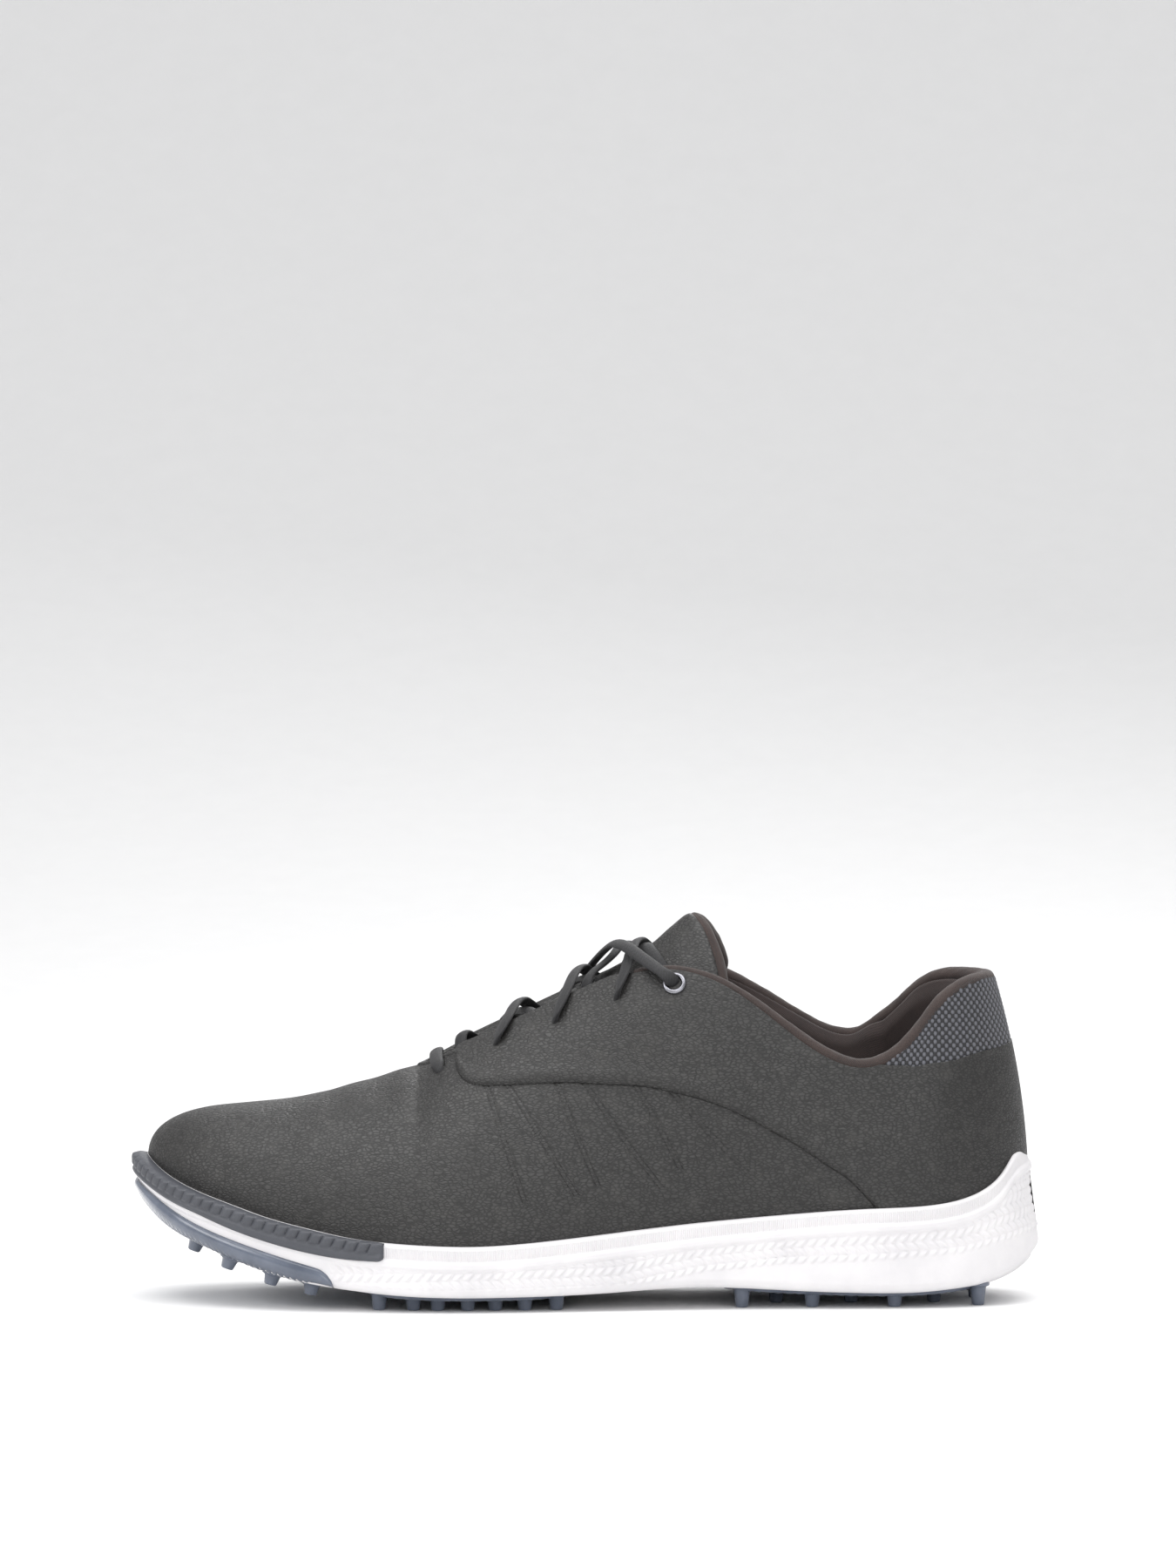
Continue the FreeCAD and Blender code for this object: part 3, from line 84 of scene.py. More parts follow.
@dataclass(frozen=True)
class Spline:
    """A natural cubic spline through (place, value) points, held level past its ends."""

    points: tuple[tuple[float, float], ...]

    def __call__(self, at: np.ndarray) -> np.ndarray:
        """The spline's value.

        Args:
            at: The places to read it at.

        Returns:
            One value for each place.
        """
        place, value = np.array(self.points, float).T
        step = np.diff(place)
        count = len(place)
        matrix = np.eye(count)
        right = np.zeros(count)
        for i in range(1, count - 1):
            matrix[i, i - 1 : i + 2] = step[i - 1], 2 * (step[i - 1] + step[i]), step[i]
            right[i] = 6 * ((value[i + 1] - value[i]) / step[i] - (value[i] - value[i - 1]) / step[i - 1])
        bend = np.linalg.solve(matrix, right)
        at = np.clip(at, place[0], place[-1])
        i = np.clip(np.searchsorted(place, at, side="right") - 1, 0, count - 2)
        back, ahead, width = place[i + 1] - at, at - place[i], step[i]
        cubic = (bend[i] * back**3 + bend[i + 1] * ahead**3) / (6 * width)
        near = (value[i] / width - bend[i] * width / 6) * back
        far = (value[i + 1] / width - bend[i + 1] * width / 6) * ahead
        return cubic + near + far


@dataclass(frozen=True)
class Monotone:
    """A curve through (place, value) points that never swings past a point."""

    points: tuple[tuple[float, float], ...]

    def __call__(self, at: np.ndarray) -> np.ndarray:
        """The curve's value.

        Args:
            at: The places to read it at.

        Returns:
            One value for each place.
        """
        place, value = np.array(self.points, float).T
        chord = np.diff(value) / np.diff(place)
        slope = np.concatenate([[chord[0]], np.zeros(len(place) - 2), [chord[-1]]])
        product = chord[:-1] * chord[1:]
        safe = np.where(np.abs(chord[:-1] + chord[1:]) > 1e-12, chord[:-1] + chord[1:], 1.0)
        slope[1:-1] = np.where(product > 0, 2 * product / safe, 0.0)
        at = np.clip(at, place[0], place[-1])
        i = np.clip(np.searchsorted(place, at, side="right") - 1, 0, len(place) - 2)
        width = place[i + 1] - place[i]
        s = (at - place[i]) / width
        start = value[i] * (1 + 2 * s) * (1 - s) ** 2 + width * slope[i] * s * (1 - s) ** 2
        return start + value[i + 1] * s * s * (3 - 2 * s) + width * slope[i + 1] * s * s * (s - 1)


def blend(low: float, high: float, at: np.ndarray) -> np.ndarray:
    """0 below low, 1 above high and a smooth step between."""
    share = np.clip((np.asarray(at, float) - low) / (high - low), 0.0, 1.0)
    return share * share * (3 - 2 * share)


def unit(vectors: np.ndarray) -> np.ndarray:
    """The vectors at length 1."""
    return vectors / np.maximum(np.linalg.norm(vectors, axis=-1, keepdims=True), 1e-12)


SOLE_BOTTOM = Spline((
    (-150.8, 34.4), (-143.6, 27.7), (-129, 20.2), (-108.8, 12.9), (-94, 9.2), (-80, 7.2), (-66, 5.8),
    (-50, 5.0), (-22, 5.0), (7, 5.9), (36, 7.3), (65, 6.1), (94, 5.1), (109, 5.2), (123, 6.3),
    (138, 9.2), (145, 12.7), (150.8, 17.0)))
FOOTBED = Spline((
    (-150.8, 42), (-140, 37), (-120, 29.8), (-100, 24.2), (-80, 19.8), (-60, 17.0), (-40, 15.6),
    (-20, 15.6), (0, 16.6), (20, 18), (50, 21), (80, 23), (110, 24), (150.8, 25)))
RIM_TOP = Spline((
    (-150.8, 47.6), (-143.5, 42.6), (-137.8, 39.8), (-120, 33.8), (-108.8, 30.3), (-94, 26.9),
    (-80, 24.2), (-65, 22.6), (-50, 21.8), (-36, 21.6), (-22, 22.3), (7, 25.2), (36, 28.4), (65, 31),
    (94, 33), (116, 34.2), (126, 36), (134, 39), (140, 43.5), (144, 48.0), (150.8, 51)))
GUARD_BOTTOM = Spline((
    (-150.8, 41.2), (-137.8, 33.9), (-129, 30.5), (-120.4, 27.1), (-108.8, 23.3), (-94, 19.7),
    (-80, 17.6), (-67, 17.0), (-50, 17.0)))
TOE_POD_TOP = Spline((
    (-150.8, 39.6), (-149.4, 38.7), (-137.8, 31.2), (-120.4, 23.6), (-108.8, 19.9), (-94.3, 15.8),
    (-88.5, 14.2), (-84, 12.6)))
RIDGE = Spline((
    (-150.8, 56), (-138, 60.3), (-120, 62.7), (-108.8, 63.7), (-97, 65.1), (-80, 69.1), (-68, 72.6),
    (-58, 75.6), (-48, 78)))
HEEL_BACK = Spline(((15, 150.9), (25, 149.6), (33, 148.0), (42, 147.0), (50, 144.2), (58, 140.5)))
TOE_X = -150.8


def turn(x: float) -> float:
    """The station of a place x along the sole's outline."""
    return math.acos(max(-1.0, min(1.0, x / TOE_X)))


OUTLINE_Y = {
    Side.LATERAL: Spline(tuple((turn(x), y) for x, y in (
        (-150.8, 12), (-146, -6), (-134, -22), (-112, -37), (-85, -48), (-50, -54), (-15, -51),
        (20, -44.5), (55, -40), (90, -39), (120, -35), (140, -23), (150.8, 2)))),
    Side.MEDIAL: Spline(tuple((turn(x), y) for x, y in (
        (-150.8, 12), (-147, 28), (-136, 40), (-112, 50), (-80, 54), (-50, 50.5), (-15, 42.5),
        (20, 38), (55, 39), (90, 41.5), (120, 38.5), (140, 27), (150.8, 2)))),
}

# One rib of the lasted form to a line: x on the outline, then the top edge's x, its distance
# from the middle and its height (0 lies on the ridge), then the slopes and pulls at the foot
# and at the edge.
RIBS = np.array([
    (-150.8, -118, 0, 0, 68, 0.66, 0, 0.65),
    (-146, -117.5, 0, 0, 69, 0.64, 0, 0.62),
    (-136, -114, 0, 0, 71, 0.60, 0, 0.58),
    (-120, -105.5, 0, 0, 75, 0.54, 0, 0.52),
    (-100, -91, 0, 0, 79, 0.48, 0, 0.46),
    (-82, -77, 0, 0, 82, 0.45, 0, 0.41),
    (-68, -65.5, 0, 0, 83, 0.43, 2, 0.38),
    (-58, -56, 0, 0, 84, 0.43, 6, 0.36),
    (-53, -51.5, 6.4, 77.9, 84, 0.42, 14, 0.34),
    (-46, -46, 10.6, 80.7, 85, 0.42, 21, 0.32),
    (-16, -16, 14, 95.3, 86, 0.41, 35, 0.26),
    (8, 8, 16.5, 106.4, 86, 0.40, 41, 0.24),
    (22, 23, 19.5, 111.2, 85, 0.39, 47, 0.24),
    (33, 36, 23.2, 110.6, 84, 0.38, 56, 0.26),
    (46, 50.8, 27, 104.3, 82, 0.37, 66, 0.28),
    (58, 65, 30, 94.4, 80, 0.36, 74, 0.30),
    (70, 77, 32.5, 86.3, 79, 0.35, 78, 0.31),
    (82, 89, 33, 81.8, 79, 0.35, 79, 0.32),
    (93, 99, 31.8, 84, 79, 0.35, 79, 0.32),
    (105, 108, 29, 91.5, 80, 0.34, 78, 0.32),
    (118, 116, 24.5, 101.8, 82, 0.34, 76, 0.33),
    (131, 124.5, 17, 107.8, 85, 0.33, 74, 0.34),
    (143, 130.5, 8, 109.1, 87, 0.33, 73, 0.345),
    (150.8, 132, 0, 109.2, 88, 0.33, 72.6, 0.345)])
RIB_STATIONS = [turn(x) for x in RIBS[:, 0]]
THROAT = RIB_STATIONS[7]
RIB_CURVES = [Spline(tuple(zip(RIB_STATIONS, RIBS[:, column]))) for column in range(8)]
EDGE_X = RIB_CURVES[1]
EDGE_Z = Spline(tuple(
    (station, rib[3] if rib[3] else float(RIDGE(np.array(rib[1])))) for station, rib in zip(RIB_STATIONS, RIBS)))
MEDIAL_LIFT = Monotone((
    (-60, 0), (20, 0), (50, 1.5), (75, 4), (90, 5.5), (105, 6), (118, 3), (132, 0), (150.8, 0)))
MEDIAL_SHIFT = Monotone(((-60, 0), (60, 0), (90, -2), (105, -4), (116, -3.6), (127, -1), (132, 0), (150.8, 0)))
NUDGE = 1e-3


def middle(x: np.ndarray) -> np.ndarray:
    """The y of the last's middle line, which toes in slightly."""
    return 6 - 0.0267 * x


def stack(*parts: np.ndarray) -> np.ndarray:
    """Coordinates put together as points."""
    return np.stack(np.broadcast_arrays(*parts), axis=-1)


@dataclass(frozen=True)
class Last:
    """The lasted surface that every piece of the upper hangs on, in millimetres."""

    feather_inset: float = 7.0

    def outline(self, side: Side, station: np.ndarray) -> np.ndarray:
        """Points of the sole's outline, at z 0."""
        return stack(TOE_X * np.cos(station), OUTLINE_Y[side](station), np.zeros_like(station))

    def outward(self, side: Side, station: np.ndarray) -> np.ndarray:
        """The outline's level outward directions."""
        station = np.asarray(station, float)
        inner = np.clip(station, 2 * NUDGE, PI - 2 * NUDGE)
        along = self.outline(side, inner + NUDGE) - self.outline(side, inner - NUDGE)
        across = unit(stack(-along[..., 1], along[..., 0], np.zeros(station.shape)))
        across = across * np.where(across[..., 1] * side.value > 0, 1.0, -1.0)[..., None]
        ends = np.array([-1.0, 0.0, 0.0]) * np.where(station < PI / 2, 1.0, -1.0)[..., None]
        at_end = (station < 2 * NUDGE) | (station > PI - 2 * NUDGE)
        return np.where(at_end[..., None], ends, across)

    def edge(self, side: Side, station: np.ndarray) -> np.ndarray:
        """The form's top edge: the ridge ahead of the throat, then the throat and collar line."""
        station = np.asarray(station, float)
        x = EDGE_X(station)
        open_part = station > THROAT
        z = np.where(open_part, EDGE_Z(station), RIDGE(x))
        gap = np.where(open_part, np.maximum(RIB_CURVES[2](station), 0.0), 0.0)
        y = middle(x) + side.value * gap
        if side is Side.MEDIAL:
            z = z + np.where(open_part, MEDIAL_LIFT(x), 0.0)
            x = x + np.where(open_part, MEDIAL_SHIFT(x), 0.0)
        return stack(x, y, z)

    def rib(self, side: Side, station: np.ndarray) -> tuple[np.ndarray, np.ndarray, np.ndarray, np.ndarray]:
        """The four control points of the form's ribs.

        Args:
            side: The side of the shoe.
            station: 0 at the toe tip to pi at the back of the heel.

        Returns:
            The foot, the two inner control points and the top edge.
        """
        station = np.asarray(station, float)
        out = self.outward(side, station)
        foot = self.outline(side, station) - out * self.feather_inset
        foot[..., 2] = FOOTBED(foot[..., 0]) + 0.2
        edge = self.edge(side, station)
        slope = np.radians(RIB_CURVES[4](station))
        lift = stack(out[..., 0] * np.cos(slope), out[..., 1] * np.cos(slope), np.sin(slope))
        down = foot - edge
        down[..., 2] = 0
        down = unit(down)
        fall = np.radians(np.maximum(RIB_CURVES[6](station), 0.0))
        ridge_slope = (RIDGE(edge[..., 0] + 1) - RIDGE(edge[..., 0] - 1)) / 2
        ahead = 1 - blend(THROAT, THROAT + 0.25, station)
        arrive = stack(down[..., 0] * np.cos(fall), down[..., 1] * np.cos(fall),
                       ahead * ridge_slope * down[..., 0] - np.sin(fall))
        height = (RIB_CURVES[5](station) * (edge[..., 2] - foot[..., 2]))[..., None]
        reach = (RIB_CURVES[7](station) * np.linalg.norm(edge - foot, axis=-1))[..., None]
        return foot, foot + lift * height, edge + arrive * reach, edge

    def form(self, side: Side, station: np.ndarray, rise: np.ndarray) -> np.ndarray:
        """Points of the form at stations and rises."""
        station, rise = np.broadcast_arrays(np.asarray(station, float), np.asarray(rise, float))
        foot, low, high, edge = self.rib(side, station)
        r = rise[..., None]
        fall = 1 - r
        return foot * fall**3 + low * (3 * fall**2 * r) + high * (3 * fall * r**2) + edge * r**3

    def facing(self, side: Side, station: np.ndarray, rise: np.ndarray) -> np.ndarray:
        """The outward normal on one side, from its two slopes."""
        station = np.clip(station, 2 * NUDGE, PI - 2 * NUDGE)
        rise = np.clip(rise, NUDGE, 1 - NUDGE)
        along = self.form(side, station + NUDGE, rise) - self.form(side, station - NUDGE, rise)
        upward = self.form(side, station, rise + NUDGE) - self.form(side, station, rise - NUDGE)
        return unit(np.cross(along, upward) * -side.value)

    def normal(self, side: Side, station: np.ndarray, rise: np.ndarray) -> np.ndarray:
        """The outward normal, shared by both sides where they meet."""
        station, rise = np.broadcast_arrays(np.asarray(station, float), np.asarray(rise, float))
        here = self.facing(side, station, rise)
        other = Side.MEDIAL if side is Side.LATERAL else Side.LATERAL
        shared = (station < NUDGE) | (station > PI - NUDGE) | ((rise > 1 - NUDGE) & (station < THROAT + NUDGE))
        both = unit(here + self.facing(other, station, rise))
        return np.where(shared[..., None], both, here)

    def under(self, side: Side, station: np.ndarray, rise: np.ndarray, depth: np.ndarray) -> np.ndarray:
        """Points at a depth under the form. A depth below 0 stands out of it."""
        depth = np.asarray(depth, float)
        return self.form(side, station, rise) - self.normal(side, station, rise) * depth[..., None]

    def station_at(self, x: float) -> float:
        """The station whose rib meets the lateral top edge at x."""
        low, high = 0.0, PI
        for _ in range(40):
            mid = (low + high) / 2
            low, high = (mid, high) if float(EDGE_X(np.array(mid))) < x else (low, mid)
        return (low + high) / 2

    def rise_at(self, side: Side, station: np.ndarray, z: np.ndarray) -> np.ndarray:
        """The rises at which ribs reach heights z."""
        station = np.asarray(station, float)
        low, high = np.zeros_like(station), np.ones_like(station)
        for _ in range(26):
            mid = (low + high) / 2
            below = self.form(side, station, mid)[..., 2] < z
            low, high = np.where(below, mid, low), np.where(below, high, mid)
        return (low + high) / 2

    def locate(self, side: Side, x: float, z: float) -> tuple[float, float]:
        """The (station, rise) of the form's point at x and z of the side view."""
        low, high = 0.02, PI
        for _ in range(26):
            mid = (low + high) / 2
            rise = self.rise_at(side, np.array(mid), np.array(z))
            low, high = (mid, high) if float(self.form(side, np.array(mid), rise)[0]) < x else (low, mid)
        mid = (low + high) / 2
        return mid, float(self.rise_at(side, np.array(mid), np.array(z)))

    def drop(self, side: Side, station: np.ndarray, distance: np.ndarray) -> np.ndarray:
        """The rises that lie a distance down the ribs from their top edge."""
        _, _, high, edge = self.rib(side, station)
        return 1 - distance / (3 * np.linalg.norm(edge - high, axis=-1))


LAST = Last()
QUARTER_EDGE = (
    (-42.1, 80.8), (-41.6, 76.5), (-38.5, 73.4), (-33, 72.8), (-21.8, 73.5), (-5, 74.5), (9.6, 74.1),
    (29, 71.8), (40.6, 68.6), (52.2, 63.7), (65.3, 56.7), (83.8, 45.1), (94.5, 34.9), (103, 26))
VAMP_REAR_EDGE = (
    (-24, 87), (-14, 82.6), (0, 81.8), (14, 81), (30, 79), (52, 71), (70, 62), (88, 50), (99, 38), (107, 27))
TAB_EDGE = ((103, 79.3), (108.8, 79), (121.5, 81.1), (132.2, 83.7), (138.9, 85.6))
QUARTER_POINTS = [LAST.locate(Side.LATERAL, x, z) for x, z in QUARTER_EDGE]
VAMP_POINTS = [LAST.locate(Side.LATERAL, x, z) for x, z in VAMP_REAR_EDGE]
TAB_POINTS = [LAST.locate(Side.LATERAL, x, z) for x, z in TAB_EDGE]
QUARTER_START = QUARTER_POINTS[0][0]
VAMP_FOOT = VAMP_POINTS[-1][0]
TAB_START = LAST.station_at(96)
COLLAR_START = LAST.station_at(13)
LINING_START = LAST.station_at(-38)
quarter_low = Monotone(tuple(QUARTER_POINTS[:-1] + [(QUARTER_POINTS[-1][0], 0.0), (PI, 0.0)]))
vamp_rear = Monotone(tuple([(LAST.station_at(-34), 1.0)] + VAMP_POINTS[:-1] + [(VAMP_FOOT, 0.03)]))

LEATHER = 1.4
OVERLAY = 1.5
LINING_DEPTH = 1.8
LINING_SKIN = 0.8


def lining_depth(station: np.ndarray, rise: np.ndarray) -> np.ndarray:
    """How deep the lining's outer face lies: room for the toe puff, counter and padding."""
    toe = 1 - blend(LAST.station_at(-104), LAST.station_at(-88), station)
    heel = blend(LAST.station_at(28), LAST.station_at(58), station)
    cushion = blend(LAST.station_at(38), LAST.station_at(72), station)
    swell = blend(0.5, 0.82, rise) * (1 - 0.75 * blend(0.9, 1.0, rise))
    return LINING_DEPTH + toe * 0.8 + heel * 1.2 + cushion * swell * 4.2


# ---------------------------------------------------------------- meshes


@dataclass
class Build:
    """A mesh under way: points in millimetres, quads and named point attributes."""

    points: list[np.ndarray] = field(default_factory=list)
    quads: list[np.ndarray] = field(default_factory=list)
    cloth: list[np.ndarray] = field(default_factory=list)
    tint: list[np.ndarray] = field(default_factory=list)
    count: int = 0

    def grid(self, points: np.ndarray, cloth: np.ndarray | None = None, tint: np.ndarray | None = None,
             wrap_columns: bool = False, flip: bool = False) -> None:
        """Add a grid of points.

        Args:
            points: Rows of columns of points, in mm.
            cloth: The pattern's (along, across) place of each point, in mm.
            tint: A number for each point that its material reads.
            wrap_columns: Whether the last column joins the first.
            flip: Whether the faces turn the other way.
        """
        rows, columns = points.shape[:2]
        index = np.arange(rows * columns).reshape(rows, columns) + self.count
        if wrap_columns:
            index = np.hstack([index, index[:, :1]])
        corners = [index[:-1, :-1], index[1:, :-1], index[1:, 1:], index[:-1, 1:]]
        if flip:
            corners.reverse()
        self.quads.append(np.stack(corners, axis=-1).reshape(-1, 4))
        self.points.append(points.reshape(-1, 3))
        size = rows * columns
        place = np.zeros((size, 2)) if cloth is None else np.asarray(cloth, float).reshape(-1, 2)
        self.cloth.append(place)
        self.tint.append(np.zeros(size) if tint is None else np.broadcast_to(tint, (rows, columns)).reshape(-1))
        self.count += size

    def finish(self, name: str, sharp: float = 50.0) -> bpy.types.Object:
        """Make the object.

        Args:
            name: The object's name.
            sharp: The angle over which an edge stays sharp, in degrees.

        Returns:
            The object, in metres.
        """
        points = np.vstack(self.points) * MM
        quads = np.vstack(self.quads)
        cloth = np.vstack(self.cloth) * MM
        tint = np.concatenate(self.tint)
        _, first, inverse = np.unique(np.round(points * 1e7).astype(np.int64), axis=0,
                                      return_index=True, return_inverse=True)
        inverse = inverse.reshape(-1)
        points, cloth, tint = points[first], cloth[first], tint[first]
        quads = inverse[quads]
        loops: list[int] = []
        starts: list[int] = []
        whole = (quads != np.roll(quads, 1, axis=1)).all(axis=1)
        solid = quads[whole]
        starts.extend(range(0, solid.size, 4))
        loops.extend(solid.reshape(-1).tolist())
        for quad in quads[~whole]:
            corners = [int(a) for a, b in zip(quad, np.roll(quad, 1)) if a != b]
            if len(set(corners)) == 3 and len(corners) == 3:
                starts.append(len(loops))
                loops.extend(corners)
        mesh = bpy.data.meshes.new(name)
        mesh.vertices.add(len(points))
        mesh.vertices.foreach_set("co", points.astype(np.float32).reshape(-1))
        mesh.loops.add(len(loops))
        mesh.loops.foreach_set("vertex_index", loops)
        mesh.polygons.add(len(starts))
        mesh.polygons.foreach_set("loop_start", starts)
        mesh.update(calc_edges=True)
        mesh.validate()
        place = mesh.attributes.new("cloth", "FLOAT_VECTOR", "POINT")
        flat = np.hstack([cloth, np.zeros((len(cloth), 1))]).astype(np.float32)
        place.data.foreach_set("vector", flat.reshape(-1))
        number = mesh.attributes.new("tint", "FLOAT", "POINT")
        number.data.foreach_set("value", tint.astype(np.float32))
        mesh.polygons.foreach_set("use_smooth", np.ones(len(mesh.polygons), bool))
        mesh.set_sharp_from_angle(angle=math.radians(sharp))
        obj = bpy.data.objects.new(name, mesh)
        bpy.context.scene.collection.objects.link(obj)
        return obj


def thicken(obj: bpy.types.Object, thickness: float, offset: float = -1.0) -> bpy.types.Object:
    """Give a surface a thickness (mm), inward for an offset of -1, and keep it as plain mesh."""
    modifier = obj.modifiers.new("thickness", "SOLIDIFY")
    modifier.thickness = thickness * MM
    modifier.offset = offset
    modifier.use_even_offset = False
    return baked(obj)


def baked(obj: bpy.types.Object) -> bpy.types.Object:
    """Apply an object's modifiers to its mesh."""
    depsgraph = bpy.context.evaluated_depsgraph_get()
    mesh = bpy.data.meshes.new_from_object(obj.evaluated_get(depsgraph), preserve_all_data_layers=True,
                                           depsgraph=depsgraph)
    obj.modifiers.clear()
    old = obj.data
    obj.data = mesh
    bpy.data.meshes.remove(old)
    return obj


def dress(obj: bpy.types.Object, material: bpy.types.Material, slot: Slot, body: Body,
          *stands_for: str) -> bpy.types.Object:
    """Finish a piece: its material, body and the CAD nodes that it stands for.

    Args:
        obj: The piece.
        material: Its finish.
        slot: Not used.
        body: The body it rides on.
        stands_for: CAD nodes that it replaces.

    Returns:
        The piece.
    """
    obj.data.materials.clear()
    obj.data.materials.append(material)
    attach(obj, body.value)
    if stands_for:
        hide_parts(*stands_for)
    LOG.info("%s: %d points on %s", obj.name, len(obj.data.vertices), body.value)
    return obj


def lathe(build: Build, profile: Sequence[tuple[float, float]], centre: np.ndarray, axis: np.ndarray,
          turns: int = 28) -> None:
    """Add a turned shape.

    Args:
        build: The mesh that it joins.
        profile: (radius, height) points along the outside, from one end of the axis to the other.
        centre: Where the axis starts, in mm.
        axis: The axis direction.
        turns: The number of steps round it.
    """
    axis = unit(np.asarray(axis, float))
    side = unit(np.cross(axis, [0.31, 0.95, 0.11]))
    other = np.cross(axis, side)
    angle = np.linspace(0, 2 * PI, turns, endpoint=False)
    ring = np.cos(angle)[:, None] * side + np.sin(angle)[:, None] * other
    rows = [np.asarray(centre) + ring * radius + axis * height for radius, height in profile]
    points = np.stack(rows)
    height = np.array([h for _, h in profile])[:, None] + 0 * angle
    cloth = stack(height, angle * profile[0][0] + 0 * height)
    build.grid(points, cloth=cloth, wrap_columns=True)


# ---------------------------------------------------------------- finishes


def linear(code: str) -> tuple[float, float, float, float]:
    """An sRGB hex colour as linear light with full alpha."""
    values = [int(code[i : i + 2], 16) / 255 for i in (1, 3, 5)]
    r, g, b = [v / 12.92 if v <= 0.04045 else ((v + 0.055) / 1.055) ** 2.4 for v in values]
    return r, g, b, 1.0


def add(tree: bpy.types.NodeTree, kind: str, settings: dict[str | int, object] | None = None,
        links: dict[str | int, bpy.types.NodeSocket] | None = None) -> bpy.types.Node:
    """Add a node with its settings and links.

    Args:
        tree: The tree that it joins.
        kind: The node's type.
        settings: Values for its properties or, by name or number, its input sockets.
        links: Sockets that feed its inputs.

    Returns:
        The node.
    """
    node = tree.nodes.new(kind)
    for name, value in (settings or {}).items():
        if isinstance(name, str) and hasattr(node, name):
            setattr(node, name, value)
        else:
            node.inputs[name].default_value = value
    for name, socket in (links or {}).items():
        tree.links.new(socket, node.inputs[name])
    return node


def ramp(tree: bpy.types.NodeTree, value: bpy.types.NodeSocket, low: float, high: float, start: float = 0.0,
         end: float = 1.0, smooth: bool = False) -> bpy.types.Node:
    """Add a node that carries a value from low to high over to start to end.

    Args:
        tree: The tree that it joins.
        value: The value's socket.
        low: The value that gives the start.
        high: The value that gives the end.
        start: The first result.
        end: The last result.
        smooth: Whether it eases in and out.

    Returns:
        The node.
    """
    settings = {"interpolation_type": "SMOOTHSTEP" if smooth else "LINEAR", "From Min": low, "From Max": high,
                "To Min": start, "To Max": end}
    return add(tree, "ShaderNodeMapRange", settings, {"Value": value})


def calc(tree: bpy.types.NodeTree, operation: str, *values: float | bpy.types.NodeSocket) -> bpy.types.Node:
    """Add a node of arithmetic.

    Args:
        tree: The tree that it joins.
        operation: Its operation.
        values: Its inputs in order, each a number or a socket.

    Returns:
        The node.
    """
    numbers = {i: value for i, value in enumerate(values) if isinstance(value, float)}
    sockets = {i: value for i, value in enumerate(values) if not isinstance(value, float)}
    return add(tree, "ShaderNodeMath", {"operation": operation} | numbers, sockets)


@dataclass(frozen=True)
class Finish:
    """What every finish shares: a name and a shader."""

    name: str

    def start(self, settings: dict[str | int, object]
              ) -> tuple[bpy.types.Material, bpy.types.NodeTree, bpy.types.Node]:
        """A new material with its shader.

        Args:
            settings: The shader's own values.

        Returns:
            The material, its tree and its shader.
        """
        material = bpy.data.materials.new(self.name)
        material.use_nodes = True
        tree = material.node_tree
        tree.nodes.clear()
        shader = add(tree, "ShaderNodeBsdfPrincipled", settings)
        add(tree, "ShaderNodeOutputMaterial", {}, {"Surface": shader.outputs["BSDF"]})
        return material, tree, shader


